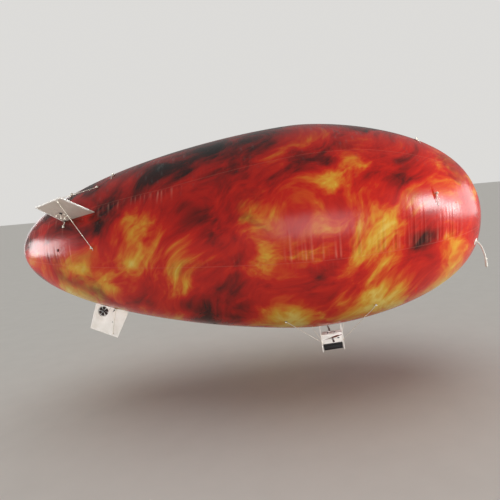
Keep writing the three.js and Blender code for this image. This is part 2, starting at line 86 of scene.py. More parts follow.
# The envelope's form, as the construction has it
envelope_low, envelope_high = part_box("envelope")
NOSE = envelope_high.x
TAIL = envelope_low.x
RADIUS = envelope_high.z
SKIN = Table(widest=0.7, nose_power=1.71, nose_root=2.55, tail_power=1.5, tail_root=1.98)

# Gores: the first seam's clock angle, how far a seam lies below the round form, and the mesh
GORES = Table(count=6, first_seam=-12.0, dip=0.016, columns=29, rings=560, crowding=0.65)

# The second seam drifts down the right side towards the tail: columns are station and angle
DRIFT = [(-2.8, -6), (-1.8, -13), (-0.8, -13), (0.3, -8), (1.4, -3), (2.8, -2)]

# Creases that run across the seams, which are ridges where the depth is below zero: columns are
# seam number, side of the seam, first and last station, longest reach and depth
# A ridge is painted paler, as a highlight, and a groove painted darker, as shade, so a depth's sign also
# chooses which is painted
CREASES = [
    (0, 1, 0.4, 2.4, 0.60, 0.0085),
    (0, 1, 0.4, 2.4, 0.50, -0.0070),
    (0, 1, -2.2, 0.5, 0.20, 0.0030),
    (0, -1, -2.6, 2.5, 0.20, 0.0014),
    (1, -1, -2.0, -0.6, 0.26, -0.0120),
    (1, -1, -2.0, -0.6, 0.22, 0.0060),
    (1, -1, -1.9, -0.7, 0.24, 0.0080),
    (1, -1, -1.85, -0.65, 0.20, 0.0070),
    (1, -1, -0.5, 2.5, 0.16, 0.0010),
    (0, 1, -2.66, -1.9, 0.50, 0.0055),
    (1, -1, -2.66, -1.9, 0.50, -0.0060),
    (0, -1, -2.66, -1.9, 0.40, 0.0030),
    (1, 1, -2.6, 2.5, 0.20, 0.0018),
    (2, -1, -2.6, 2.5, 0.30, 0.0026),
    (2, 1, -2.6, 2.5, 0.26, 0.0024),
    (3, -1, -2.6, 2.5, 0.36, 0.0038),
    (3, 1, -2.6, 2.5, 0.24, 0.0020),
    (4, -1, -2.6, 2.5, 0.26, 0.0022),
    (4, 1, -2.6, 2.5, 0.26, 0.0022),
    (5, -1, -2.6, 2.5, 0.24, 0.0020),
    (5, 1, -2.6, 2.5, 0.28, 0.0024),
]

# Gaps, clusters and the margin at the ends are counted in rings. Depths, lengths and the clusters'
# strengths are drawn between the least share and 1.
CREASE = Table(
    least_gap=3,
    most_gap=12,
    shortest=0.35,
    shallowest=0.3,
    start=0.05,
    fade=1.3,
    # Depth at which a crease's painted highlight or painted shade is at full strength
    full_tone=0.0055,
    cluster=18,
    weakest_cluster=0.25,
    end_margin=6,
)

# Section of a crease: columns are rings from its middle and share of its depth
CREASE_PROFILE = [(0, 1.0), (-1, 0.30), (1, 0.30), (-2, -0.40), (2, -0.25)]

# How far the film's fine wrinkles reach from a seam, and how strong they are at the ends: columns
# of an end are where they start, the run to full strength, and that strength
SEAM_PULL = Table(reach=0.16, tail=(-1.9, 0.4, 0.9), nose=(2.0, 0.5, 0.6))

rng = np.random.default_rng(12)


def skin_radius(station):
    """Radius of the round form at a station, for a number or an array."""
    run = np.asarray(station, float) - SKIN.widest
    ahead = run >= 0
    reach = np.where(ahead, NOSE - SKIN.widest, SKIN.widest - TAIL)
    power = np.where(ahead, SKIN.nose_power, SKIN.tail_power)
    root = np.where(ahead, SKIN.nose_root, SKIN.tail_root)
    share = np.clip(np.abs(run) / reach, 0, 1)
    return RADIUS * (1 - share**power) ** (1 / root)


def seam_drift(station):
    """Angle that the second seam has drifted by, in degrees."""
    stations, angles = zip(*DRIFT)
    return np.interp(station, stations, angles)


def gore_share(station, clock):
    """Share of the way from one seam, where it is 0, to the next one, where it is 1."""
    width = 360 / GORES.count
    past = (np.asarray(clock, float) - GORES.first_seam) % 360
    drift = seam_drift(station)
    first = past / (width + drift)
    second = (past - width - drift) / (width - drift)
    return np.where(past < width + drift, first, np.where(past < 2 * width, second, past / width % 1))


def drifted(station, clock):
    """Where a clock angle of evenly spaced gores comes to lie."""
    width = 360 / GORES.count
    past = (np.asarray(clock, float) - GORES.first_seam) % 360
    near = np.clip(1 - np.abs(past - width) / width, 0, 1)
    return clock + seam_drift(station) * near


def seam_gap(station, clock):
    """Distance from the nearest seam along the film."""
    share = gore_share(station, clock)
    width = math.radians(360 / GORES.count)
    return np.minimum(share, 1 - share) * width * skin_radius(station)


def gore_dip(station, clock):
    """How far the film lies below the round form: each gore bulges between its seams."""
    share = gore_share(station, clock)
    scale = skin_radius(station) / RADIUS
    return GORES.dip * scale * (1 - 2 * np.minimum(share, 1 - share)) ** 2


def on_skin(station, clock, offset=0.0):
    """Points on the film, raised by an offset, as an array of rows."""
    station, clock = np.broadcast_arrays(np.asarray(station, float), np.asarray(clock, float))
    radius = skin_radius(station) - gore_dip(station, clock) + offset
    turn = np.radians(clock)
    return np.stack([station, -radius * np.cos(turn), radius * np.sin(turn)], axis=-1)


def skin_normal(station, clock):
    """Outward normal of the round form, as a Vector."""
    step = 0.001
    slope = float(skin_radius(station + step) - skin_radius(station - step)) / (2 * step)
    turn = math.radians(clock)
    return Vector((-slope, -math.cos(turn), math.sin(turn))).normalized()


def skin_frame(station, clock, offset=0.0):
    """Axes on the film: X towards the nose, Y across it, Z out of it."""
    normal = skin_normal(station, clock)
    ahead = (Vector((1, 0, 0)) - normal * normal.x).normalized()
    across = normal.cross(ahead)
    turn = Matrix((ahead, across, normal)).transposed().to_4x4()
    return Matrix.Translation(Vector(on_skin(station, clock, offset))) @ turn


# Modelling helpers. Faces that meet at less than these angles are shaded as one surface.
USUAL_ANGLE = 40
ROUND_ANGLE = 60
SOFT_ANGLE = 50
CRISP_ANGLE = 30


def select_only(piece):
    bpy.ops.object.select_all(action="DESELECT")
    piece.select_set(True)
    bpy.context.view_layer.objects.active = piece


def added(name):
    """Names the primitive that was just added, and puts its place in its mesh."""
    piece = bpy.context.object
    piece.name = name
    piece.data.name = name
    bpy.ops.object.transform_apply(location=True, rotation=True, scale=True)
    return piece


def cube(name, size, centre=(0, 0, 0)):
    bpy.ops.object.select_all(action="DESELECT")
    bpy.ops.mesh.primitive_cube_add(size=1, location=centre, scale=size)
    return added(name)


def cylinder(name, radius, depth, centre, sides, turn=(0, 0, 0)):
    bpy.ops.object.select_all(action="DESELECT")
    bpy.ops.mesh.primitive_cylinder_add(
        vertices=sides, radius=radius, depth=depth, location=centre, rotation=turn
    )
    return added(name)


def edit(piece):
    select_only(piece)
    bpy.ops.object.mode_set(mode="EDIT")
    bpy.ops.mesh.select_mode(type="FACE")
    bpy.ops.mesh.select_all(action="DESELECT")


def end_edit():
    bpy.ops.object.mode_set(mode="OBJECT")


def pick_faces(piece, test):
    """In edit mode, selects the faces whose middle and normal pass the test."""
    shape = bmesh.from_edit_mesh(piece.data)
    for face in shape.faces:
        face.select_set(bool(test(face.calc_center_median(), face.normal)))
    bmesh.update_edit_mesh(piece.data)


def pick_edges(piece, test):
    """In edit mode, selects the edges whose middle and direction pass the test."""
    shape = bmesh.from_edit_mesh(piece.data)
    for edge in shape.edges:
        start, end = (corner.co for corner in edge.verts)
        edge.select_set(bool(test((start + end) / 2, (end - start).normalized())))
    bmesh.update_edit_mesh(piece.data)


def slice_at(point, normal):
    """Cuts every face along a plane, in edit mode."""
    bpy.ops.mesh.select_all(action="SELECT")
    bpy.ops.mesh.bisect(plane_co=point, plane_no=normal)
    bpy.ops.mesh.select_all(action="DESELECT")


def extrude(by):
    bpy.ops.mesh.extrude_region_move(TRANSFORM_OT_translate={"value": by})


def apply_modifier(piece, kind, **settings):
    select_only(piece)
    made = piece.modifiers.new(kind.lower(), kind)
    for key, value in settings.items():
        setattr(made, key, value)
    bpy.ops.object.modifier_apply(modifier=made.name)


def round_edges(piece, width, segments=2, angle=35):
    limit = math.radians(angle)
    apply_modifier(piece, "BEVEL", width=width, segments=segments, limit_method="ANGLE", angle_limit=limit)


def smooth(piece, angle=USUAL_ANGLE):
    select_only(piece)
    bpy.ops.object.shade_smooth_by_angle(angle=math.radians(angle))


def subtract(piece, tool):
    apply_modifier(piece, "BOOLEAN", operation="DIFFERENCE", solver="EXACT", object=tool)
    bpy.data.objects.remove(tool)


def face_out(piece):
    """Merges doubles and turns every face outwards."""
    edit(piece)
    bpy.ops.mesh.select_all(action="SELECT")
    bpy.ops.mesh.remove_doubles(threshold=1e-6)
    bpy.ops.mesh.normals_make_consistent(inside=False)
    end_edit()


def joined(name, pieces):
    """Joins pieces into the first one."""
    bpy.ops.object.select_all(action="DESELECT")
    for piece in pieces:
        piece.select_set(True)
    bpy.context.view_layer.objects.active = pieces[0]
    if len(pieces) > 1:
        bpy.ops.object.join()
    pieces[0].name = name
    pieces[0].data.name = name
    return pieces[0]


def copy_of(piece, name, matrix=Matrix()):
    twin = piece.copy()
    twin.data = piece.data.copy()
    twin.name = name
    twin.data.name = name
    bpy.context.scene.collection.objects.link(twin)
    twin.data.transform(matrix)
    return twin


def corners(piece):
    """The mesh's vertices as an array of rows."""
    rows = np.zeros(len(piece.data.vertices) * 3)
    piece.data.vertices.foreach_get("co", rows)
    return rows.reshape(-1, 3)


def set_corners(piece, rows):
    piece.data.vertices.foreach_set("co", np.asarray(rows, float).ravel())
    piece.data.update()


def placed(piece, matrix):
    piece.data.transform(matrix)
    piece.data.update()
    return piece


def tube(name, lines, radius, closed=False, resolution=1, radii=None):
    """Round cords along lists of points, as one mesh with closed ends."""
    data = bpy.data.curves.new(name, "CURVE")
    data.dimensions = "3D"
    data.bevel_depth = radius
    data.bevel_resolution = resolution
    data.use_fill_caps = True
    for number, line in enumerate(lines):
        spline = data.splines.new("POLY")
        spline.points.add(len(line) - 1)
        for point, place in zip(spline.points, line):
            point.co = (*place, 1)
        if radii is not None:
            for point, share in zip(spline.points, radii[number]):
                point.radius = share
        spline.use_cyclic_u = closed
    piece = bpy.data.objects.new(name, data)
    bpy.context.scene.collection.objects.link(piece)
    select_only(piece)
    bpy.ops.object.convert(target="MESH")
    piece = bpy.context.object
    smooth(piece, ROUND_ANGLE)
    return piece


def evenly(points, step):
    """The same line as points about one step apart."""
    rows = np.asarray(points, float)
    lengths = np.linalg.norm(np.diff(rows, axis=0), axis=1)
    run = np.concatenate([[0], np.cumsum(lengths)])
    places = np.linspace(0, run[-1], max(2, int(run[-1] / step) + 1))
    return np.stack([np.interp(places, run, rows[:, axis]) for axis in range(3)], axis=-1)


# Steps of a smooth line: how many are made between two points, and the lengths they are evened to
CURVE_STEPS = 12
USUAL_STEP = 0.003
FINE_STEP = 0.002


def curved(points, step):
    """A smooth line through a few points, as points about one step apart."""
    rows = np.asarray([tuple(point) for point in points], float)
    padded = np.vstack([2 * rows[0] - rows[1], rows, 2 * rows[-1] - rows[-2]])
    made = []
    for i in range(len(rows) - 1):
        before, start, end, after = padded[i : i + 4]
        for share in np.linspace(0, 1, CURVE_STEPS, endpoint=False):
            slope = (end - before) * share
            square = (2 * before - 5 * start + 4 * end - after) * share**2
            cube_term = (3 * start - before - 3 * end + after) * share**3
            made.append(0.5 * (2 * start + slope + square + cube_term))
    made.append(rows[-1])
    return evenly(made, step)


# A laid rope: one turn's length at its usual radius, the strands' own radius and how far they lie
# from the rope's middle as shares of its radius, and a direction that no rope here runs in
ROPE = Table(
    radius=0.0034,
    turn=0.022,
    steps_a_turn=6,
    strands=3,
    strand=0.54,
    lay=0.48,
    aside=(0.31, 0.52, 0.79),
)


def rope(name, points, radius=ROPE.radius):
    """Strands wound round each other along a line."""
    turn = ROPE.turn * radius / ROPE.radius
    line = evenly(points, turn / ROPE.steps_a_turn)
    along = np.gradient(line, axis=0)
    along /= np.linalg.norm(along, axis=1)[:, None]
    side = np.cross(along, ROPE.aside)
    side /= np.linalg.norm(side, axis=1)[:, None]
    up = np.cross(along, side)
    angle = np.arange(len(line)) * 2 * np.pi / ROPE.steps_a_turn
    lay = ROPE.lay * radius
    lines = []
    for strand in range(ROPE.strands):
        phase = angle + strand * 2 * np.pi / ROPE.strands
        lines.append(line + lay * (np.cos(phase)[:, None] * side + np.sin(phase)[:, None] * up))
    return tube(name, lines, ROPE.strand * radius)


def cord(name, points, radius=ROPE.radius, step=USUAL_STEP):
    """A rope along a smooth line through a few points."""
    return rope(name, curved(points, step), radius)


KNOT = Table(steps=40, depth=1.3, turn=0.9, axis=(0.4, 1, 0.3))


def knot(name, place, size, radius=ROPE.radius):
    """An overhand knot, drawn as a trefoil three units in radius."""
    t = np.linspace(0, 2 * np.pi, KNOT.steps, endpoint=False)
    across = np.sin(t) + 2 * np.sin(2 * t)
    up = np.cos(t) - 2 * np.cos(2 * t)
    deep = -KNOT.depth * np.sin(3 * t)
    turn = np.array(Matrix.Rotation(KNOT.turn, 3, Vector(KNOT.axis)))
    line = np.stack([across, up, deep], axis=-1) @ turn.T * size / 3 + np.asarray(place)
    return tube(name, [line], radius, closed=True)


# Shaders
def ink(code):
    """A colour from its six hexadecimal digits, as the shader's linear values."""
    shares = [int(code[i : i + 2], 16) / 255 for i in (0, 2, 4)]
    linear = [s / 12.92 if s <= 0.04045 else ((s + 0.055) / 1.055) ** 2.4 for s in shares]
    return (*linear, 1.0)


class Value:
    """A socket of a material. Sums on numbers add Math nodes."""

    def __init__(self, finish, socket):
        self.finish = finish
        self.socket = socket

    def math(self, operation, *terms):
        inputs = dict(enumerate(terms))
        return self.finish.node("ShaderNodeMath", {"operation": operation}, inputs)

    def __add__(self, other):
        return self.math("ADD", self, other)

    def __sub__(self, other):
        return self.math("SUBTRACT", self, other)

    def __rsub__(self, other):
        return self.math("SUBTRACT", other, self)

    def __mul__(self, other):
        return self.math("MULTIPLY", self, other)

    def __truediv__(self, other):
        return self.math("DIVIDE", self, other)

    def __neg__(self):
        return self.math("MULTIPLY", self, -1)

    __radd__ = __add__
    __rmul__ = __mul__

    def least(self, other):
        return self.math("MINIMUM", self, other)

    def most(self, other):
        return self.math("MAXIMUM", self, other)

    def wave(self):
        return self.math("SINE", self)

    def between(self, low, high):
        """0 below low, 1 above high and a smooth step between them."""
        settings = {"interpolation_type": "SMOOTHSTEP"}
        return self.finish.node("ShaderNodeMapRange", settings, {0: self, 1: low, 2: high, 3: 0.0, 4: 1.0})


class Finish:
    """A procedural material, made of nodes that its methods add."""

    def __init__(self, name):
        self.material = bpy.data.materials.new(name)
        self.material.use_nodes = True
        self.tree = self.material.node_tree
        self.tree.nodes.clear()

    def node(self, kind, settings=None, inputs=None, out=0):
        made = self.tree.nodes.new(kind)
        for key, value in (settings or {}).items():
            if key == "stops":
                self.set_stops(made.color_ramp, value)
            else:
                setattr(made, key, value)
        for key, value in (inputs or {}).items():
            if isinstance(value, Value):
                self.tree.links.new(value.socket, made.inputs[key])
            else:
                made.inputs[key].default_value = value
        return Value(self, made.outputs[out])

    @staticmethod
    def set_stops(ramp, stops):
        for place, colour in stops[1:-1]:
            ramp.elements.new(place).color = colour
        for element, (place, colour) in zip((ramp.elements[0], ramp.elements[-1]), (stops[0], stops[-1])):
            element.position = place
            element.color = colour

    def place(self):
        return self.node("ShaderNodeTexCoord", out="Object")

    def mapped(self, vector, scale=(1, 1, 1), turn=(0, 0, 0), shift=(0, 0, 0)):
        angles = [math.radians(a) for a in turn]
        inputs = {"Vector": vector, "Scale": scale, "Rotation": angles, "Location": shift}
        return self.node("ShaderNodeMapping", None, inputs)

    def parts(self, vector):
        return [self.node("ShaderNodeSeparateXYZ", None, {0: vector}, out) for out in range(3)]

    def noise(self, vector, scale, detail, roughness=0.5, distortion=0.0, out="Fac"):
        inputs = {
            "Vector": vector,
            "Scale": scale,
            "Detail": detail,
            "Roughness": roughness,
            "Distortion": distortion,
        }
        return self.node("ShaderNodeTexNoise", None, inputs, out)

    def vectors(self, operation, first, second):
        return self.node("ShaderNodeVectorMath", {"operation": operation}, {0: first, 1: second})

    def scaled(self, vector, by):
        return self.node("ShaderNodeVectorMath", {"operation": "SCALE"}, {0: vector, "Scale": by})

    def mix(self, share, first, second):
        settings = {"data_type": "RGBA"}
        return self.node("ShaderNodeMix", settings, {0: share, 6: first, 7: second}, out=2)

    def ramp(self, value, *stops):
        return self.node("ShaderNodeValToRGB", {"stops": stops}, {0: value})

    def bump(self, height, distance, strength):
        inputs = {"Height": height, "Distance": distance, "Strength": strength}
        return self.node("ShaderNodeBump", None, inputs)

    def surface(self, **inputs):
        named = {key.replace("_", " ").title().replace("Ior", "IOR"): value for key, value in inputs.items()}
        shader = self.node("ShaderNodeBsdfPrincipled", None, named)
        output = self.tree.nodes.new("ShaderNodeOutputMaterial")
        self.tree.links.new(shader.socket, output.inputs["Surface"])
        return self.material


# The printed film: colours of the fire from cold to hot
FLAMES = [
    (0.00, ink("1a0503")),
    (0.14, ink("420a06")),
    (0.28, ink("8a1007")),
    (0.42, ink("b81309")),
    (0.56, ink("cf1f0c")),
    (0.66, ink("d94a12")),
    (0.75, ink("df7a20")),
    (0.86, ink("e2a732")),
    (1.00, ink("ecd068")),
]
SMOKE_AND_GROOVE_SHADE = ink("180504")

# How hot the print is from the belly (0) to the top (1)
LIFT = [(0.0, 0.44), (0.14, 0.56), (0.35, 0.54), (0.55, 0.52), (0.72, 0.46), (0.88, 0.34), (1.0, 0.04)]

# Broad zones of the print: columns are station, height, reach and heat
ZONES = [
    (-1.6, -0.4, 0.5, 0.18),
    (-1.4, 0.2, 0.4, -0.08),
    (-2.2, -0.7, 0.5, 0.30),
    (-1.9, 0.6, 0.7, -0.12),
    (-0.9, 0.7, 0.7, -0.04),
    (-0.3, -0.7, 0.5, -0.12),
    (0.3, 0.2, 0.7, 0.06),
    (0.1, -0.3, 0.4, 0.08),
    (-0.6, -0.15, 0.55, 0.30),
    (-1.2, -0.2, 0.35, 0.16),
    (-0.7, -0.75, 0.35, -0.14),
    (0.4, -1.0, 0.5, 0.42),
    (0.3, -0.8, 0.45, 0.26),
    (-0.2, -1.1, 0.45, 0.34),
    (0.95, -0.9, 0.4, 0.30),
    (1.4, -0.9, 0.5, 0.18),
    (1.6, 0.15, 0.5, 0.18),
    (1.9, -0.3, 0.4, -0.22),
    (1.2, 0.8, 0.7, 0.04),
    (0.9, -0.4, 0.4, -0.10),
    (-2.35, 0.15, 0.5, 0.20),
    (-2.6, -0.35, 0.25, -0.38),
]


def zone_heat(finish, place):
    """Sum of the broad zones, each a soft round hill in side view."""
    x, _, z = finish.parts(place)
    heat = None
    for station, height, reach, strength in ZONES:
        along, up = x - station, z - height
        hill = (1 - (along * along + up * up) / reach**2).most(0)
        part = hill * hill * strength
        heat = part if heat is None else heat + part
    return heat


# The fire's layers, from broad sheets of flame to fine licks: columns are scale, shift, detail,
# roughness, distortion and heat
FIRE = [
    ((0.9, 1.0, 1.6), (6, 4, 1), 4.0, 0.50, 0.2, 1.75),
    ((1.6, 2.0, 3.6), (4, 2, 9), 4.0, 0.58, 0.5, 0.80),
    ((3.2, 4.0, 9.0), (1, 7, 3), 3.0, 0.60, 0.7, 0.50),
]
FIRE_BEND = Table(scale=0.8, detail=2.0, reach=1.1, lean=(0, 35, 0))
CLOUDS = Table(
    stretch=(0.8, 0.8, 1.2),
    lean=(0, 20, 0),
    shift=(5, 5, 9),
    scale=1.5,
    detail=4.0,
    roughness=0.55,
    low=0.56,
    high=0.76,
    strength=0.6,
)


def flame_print(finish):
    """A generic flame print: dark at the top, red above the middle, and licks of fire below."""
    place = finish.place()
    swirl = finish.noise(place, FIRE_BEND.scale, FIRE_BEND.detail, out="Color")
    drift = finish.vectors("SUBTRACT", swirl, (0.5, 0.5, 0.5))
    bent = finish.vectors("ADD", place, finish.scaled(drift, FIRE_BEND.reach))
    along = finish.mapped(bent, turn=FIRE_BEND.lean)
    height = finish.parts(place)[2] / (2 * RADIUS) + 0.5
    lift = finish.ramp(height, *[(share, (heat, heat, heat, 1)) for share, heat in LIFT])
    heat = lift + zone_heat(finish, place)
    for scale, shift, detail, roughness, distortion, strength in FIRE:
        layer = finish.noise(finish.mapped(along, scale, shift=shift), 1.0, detail, roughness, distortion)
        heat = heat + (layer - 0.5) * strength
    fire = finish.ramp(heat, *FLAMES)
    spread = finish.mapped(bent, CLOUDS.stretch, CLOUDS.lean, CLOUDS.shift)
    clouds = finish.noise(spread, CLOUDS.scale, CLOUDS.detail, CLOUDS.roughness)
    return finish.mix(clouds.between(CLOUDS.low, CLOUDS.high) * CLOUDS.strength, fire, SMOKE_AND_GROOVE_SHADE)


# Painted highlight tint: the creases' ridges are mixed towards it, and the whole film as far as paler asks
PAINTED_HIGHLIGHT = ink("f3a48c")
# FILM's crease is how strongly ridges are painted paler as a highlight, ridge how strongly grooves are
# painted darker as shade
FILM = Table(crease=0.6, ridge=0.45, wrinkle=(38, 2.2, 2.2), slack=0.6, mottle=0.08)


def film_finish(name, roughness=0.24, paler=0.0):
    """Printed film with painted light on its creases: a painted highlight on their ridges and painted shade
    in their grooves. It is slightly wrinkled by the seams.
    """
    finish = Finish(name)
    place = finish.place()
    painted_crease_shading = finish.node("ShaderNodeAttribute", {"attribute_name": "crease"}, out="Fac")
    # Painted highlight on the ridges, where crease is above zero, and painted shade in the grooves, where it
    # is below zero
    colour = finish.mix(painted_crease_shading.most(0).least(1) * FILM.crease + paler, flame_print(finish), PAINTED_HIGHLIGHT)
    colour = finish.mix((-painted_crease_shading).most(0).least(1) * FILM.ridge, colour, SMOKE_AND_GROOVE_SHADE)
    wrinkle = finish.noise(finish.mapped(place, FILM.wrinkle), 1.0, 3.0, 0.6)
    pull = finish.node("ShaderNodeAttribute", {"attribute_name": "seam_pull"}, out="Fac")
    slack = finish.noise(place, 2.2, 2.0)
    mottle = finish.noise(place, 9.0, 3.0)
    height = (wrinkle - 0.5) * pull + (slack - 0.5) * FILM.slack
    return finish.surface(
        base_color=colour,
        roughness=(mottle - 0.5) * FILM.mottle + roughness,
        specular_ior_level=0.5,
        normal=finish.bump(height, 0.006, 0.4),
    )


def gore_clocks():
    """Clock angles of the mesh's columns, crowded towards the seams."""
    share = np.arange(GORES.columns) / GORES.columns
    crowded = 0.5 - 0.5 * np.cos(np.pi * share)
    share = GORES.crowding * crowded + (1 - GORES.crowding) * share
    width = 360 / GORES.count
    starts = GORES.first_seam + width * np.arange(GORES.count)
    return (starts[:, None] + width * share[None, :]).ravel()


PROFILE_STEPS = 4001


def ring_stations():
    """Stations of the mesh's rings, evenly spaced along the film from nose to tail."""
    angle = np.linspace(0, np.pi, PROFILE_STEPS)
    middle = (NOSE + TAIL) / 2
    station = middle + (NOSE - middle) * np.cos(angle)
    run = np.concatenate([[0], np.cumsum(np.hypot(np.diff(station), np.diff(skin_radius(station))))])
    return np.interp(np.linspace(0, run[-1], GORES.rings + 1), run, station)


def crease_depths(stations, clocks):
    """Depth of the creases at every ring and column: short folds, in clusters, from the seams."""
    depths = np.zeros((len(stations), len(clocks)))
    width = 360 / GORES.count
    rings = np.arange(len(stations))
    for seam, side, low, high, reach, depth in CREASES:
        away = ((clocks - GORES.first_seam - width * seam) * side) % 360
        near = away < width / 2
        marks = rings[:: CREASE.cluster]
        cluster = np.interp(rings, marks, rng.uniform(CREASE.weakest_cluster, 1.0, len(marks)))
        ring = CREASE.end_margin
        while ring < len(stations) - CREASE.end_margin:
            if low < stations[ring] < high:
                length = reach * rng.uniform(CREASE.shortest, 1.0)
                strength = depth * rng.uniform(CREASE.shallowest, 1.0) * cluster[ring]
                gap = np.radians(away) * skin_radius(stations[ring])
                fade = np.clip(gap / CREASE.start, 0, 1)
                fade = fade * np.clip(1 - gap / length, 0, 1) ** CREASE.fade
                for shift, share in CREASE_PROFILE:
                    depths[ring + shift] += np.where(near, strength * share * fade, 0)
            ring += int(rng.integers(CREASE.least_gap, CREASE.most_gap))
    return depths


def wrinkling(station, clock):
    """Strength of the film's fine wrinkles, which is greatest at the seams and at the two ends."""
    start, run, most = SEAM_PULL.tail
    tail = np.clip((start - station) / run, 0, most)
    start, run, most = SEAM_PULL.nose
    nose = np.clip((station - start) / run, 0, most)
    return np.exp(-((seam_gap(station, clock) / SEAM_PULL.reach) ** 2)) + (tail + nose)


def make_skin():
    """The envelope's skin: a sphere's mesh laid on the gores, with its creases."""
    stations = ring_stations()
    clocks = gore_clocks()
    rings, columns = GORES.rings, len(clocks)
    bpy.ops.object.select_all(action="DESELECT")
    bpy.ops.mesh.primitive_uv_sphere_add(segments=columns, ring_count=rings, radius=1)
    skin = added("envelope_skin")
    ball = corners(skin)
    ring = np.rint(np.arccos(np.clip(ball[:, 2], -1, 1)) / np.pi * rings).astype(int)
    column = np.rint(np.arctan2(ball[:, 1], ball[:, 0]) / (2 * np.pi) * columns).astype(int) % columns
    depths = crease_depths(stations, clocks)[ring, column]
    spin = drifted(stations[ring], clocks[column])
    set_corners(skin, on_skin(stations[ring], spin, -depths))
    # The crease attribute drives the film's painted shading: above zero on ridges, painted paler, below zero
    # in grooves, painted darker
    crease = skin.data.attributes.new("crease", "FLOAT", "POINT")
    crease.data.foreach_set("value", -depths / CREASE.full_tone)
    pull = skin.data.attributes.new("seam_pull", "FLOAT", "POINT")
    pull.data.foreach_set("value", wrinkling(stations[ring], spin))
    edit(skin)
    bpy.ops.mesh.select_all(action="SELECT")
    bpy.ops.mesh.normals_make_consistent(inside=False)
    end_edit()
    select_only(skin)
    bpy.ops.object.shade_smooth()
    skin.data.materials.append(film_finish("printed_film"))
    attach(skin, "airframe")
    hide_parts("envelope")


make_skin()


# Other finishes
def foam_finish(name, tone, shade):
    """White foam board: fine cells, faint yellowing and scuffs."""
    finish = Finish(name)
    place = finish.place()
    cells = finish.node("ShaderNodeTexVoronoi", None, {"Vector": place, "Scale": 900.0})
    stain = finish.noise(place, 7.0, 4.0)
    scuff = finish.noise(finish.mapped(place, (60, 9, 60)), 1.0, 4.0, 0.7).between(0.60, 0.72)
    colour = finish.mix(stain.between(0.35, 0.75), ink(tone), ink(shade))
    colour = finish.mix(scuff * 0.25, colour, ink("b9b0a4"))
    height = cells * 0.4 + stain
    return finish.surface(
        base_color=colour,
        roughness=stain * 0.2 + 0.42,
        specular_ior_level=0.45,
        normal=finish.bump(height, 0.0006, 0.5),
    )


def tape_finish(name):
    """Satin white tape with small wrinkles."""
    finish = Finish(name)
    place = finish.place()
    wrinkle = finish.noise(finish.mapped(place, (40, 90, 40)), 1.0, 3.0, 0.6)
    colour = finish.mix(wrinkle.between(0.4, 0.8), ink("f6f3ee"), ink("e9e4dc"))
    return finish.surface(
        base_color=colour, roughness=wrinkle * 0.15 + 0.3, normal=finish.bump(wrinkle, 0.0006, 0.6)
    )


def cord_finish(name):
    """Laid cord: fine fibres and a little dirt."""
    finish = Finish(name)
    place = finish.place()
    fibre = finish.noise(place, 1400.0, 2.0)
    dirt = finish.noise(place, 23.0, 3.0)
    colour = finish.mix(dirt.between(0.45, 0.8), ink("e9e2d4"), ink("c3b7a2"))
    colour = finish.mix(fibre.between(0.45, 0.7) * 0.35, colour, ink("a99c86"))
    return finish.surface(
        base_color=colour, roughness=0.85, sheen_weight=0.3, normal=finish.bump(fibre, 0.0004, 0.7)
    )


def sleeve_finish(name):
    """Soft woven white tube."""
    finish = Finish(name)
    place = finish.place()
    x, y, z = finish.parts(place)
    weave = ((x + y) * 2600.0).wave() * (z * 2600.0).wave()
    crush = finish.noise(place, 45.0, 4.0)
    colour = finish.mix(crush.between(0.35, 0.7), ink("f0ece4"), ink("d2cabd"))
    height = weave * 0.2 + crush * 2
    return finish.surface(
        base_color=colour, roughness=0.7, sheen_weight=0.2, normal=finish.bump(height, 0.001, 0.6)
    )


def moulded_finish(name, tone, shade, roughness=0.45):
    """Moulded plastic: fine spark grain, slight flow marks and handling."""
    finish = Finish(name)
    place = finish.place()
    spark = finish.noise(place, 700.0, 2.0)
    flow = finish.noise(finish.mapped(place, (12, 12, 40)), 1.0, 3.0)
    colour = finish.mix(flow.between(0.4, 0.75), ink(tone), ink(shade))
    return finish.surface(
        base_color=colour,
        roughness=(flow - 0.5) * 0.2 + roughness,
        normal=finish.bump(spark, 0.0003, 0.6),
    )


def metal_finish(name, tone, roughness=0.28):
    """Machined metal: rings of fine tool marks and a few dull spots."""
    finish = Finish(name)
    place = finish.place()
    marks = finish.noise(finish.mapped(place, (90, 90, 2600)), 1.0, 2.0)
    dull = finish.noise(place, 160.0, 3.0)
    colour = finish.mix(dull.between(0.5, 0.8) * 0.5, ink(tone), ink("6c6d70"))
    return finish.surface(
        base_color=colour,
        metallic=1.0,
        roughness=(marks - 0.5) * 0.15 + roughness,
        normal=finish.bump(marks, 0.0001, 0.4),
    )


def carbon_finish(name):
    """Carbon fibre: a twill of light and dark tows under a clear coat."""
    finish = Finish(name)
    x, y, z = finish.parts(finish.place())
    round_tube, along_tube = (x + z) * 900.0, y * 1400.0
    twill = (round_tube + along_tube).wave() * (along_tube - round_tube).wave()
    colour = finish.mix(twill.between(-0.3, 0.3), ink("141517"), ink("35373a"))
    return finish.surface(base_color=colour, roughness=0.4, coat_weight=0.8, coat_roughness=0.1)


def blade_finish(name, tone, shade):
    """Moulded blade with streaks along its length."""
    finish = Finish(name)
    place = finish.place()
    streak = finish.noise(finish.mapped(place, (30, 260, 260)), 1.0, 4.0, 0.6)
    colour = finish.mix(streak.between(0.3, 0.75), ink(tone), ink(shade))
    return finish.surface(
        base_color=colour,
        roughness=(streak - 0.5) * 0.15 + 0.42,
        coat_weight=0.12,
        coat_roughness=0.2,
        normal=finish.bump(streak, 0.0002, 0.5),
    )


def coil_finish(name):
    """Varnished copper wire, wound in fine turns: darker in the grooves between turns as painted shade,
    paler on their crests.
    """
    finish = Finish(name)
    wire = (finish.parts(finish.place())[2] * 9000.0).wave()
    # Painted shade in the grooves between the turns, in step with the bump
    colour = finish.mix(wire.between(-0.6, 0.6), ink("6e2f12"), ink("c8743a"))
    grooves = finish.bump(wire, 0.0002, 0.8)
    return finish.surface(base_color=colour, metallic=0.7, roughness=0.35, normal=grooves)


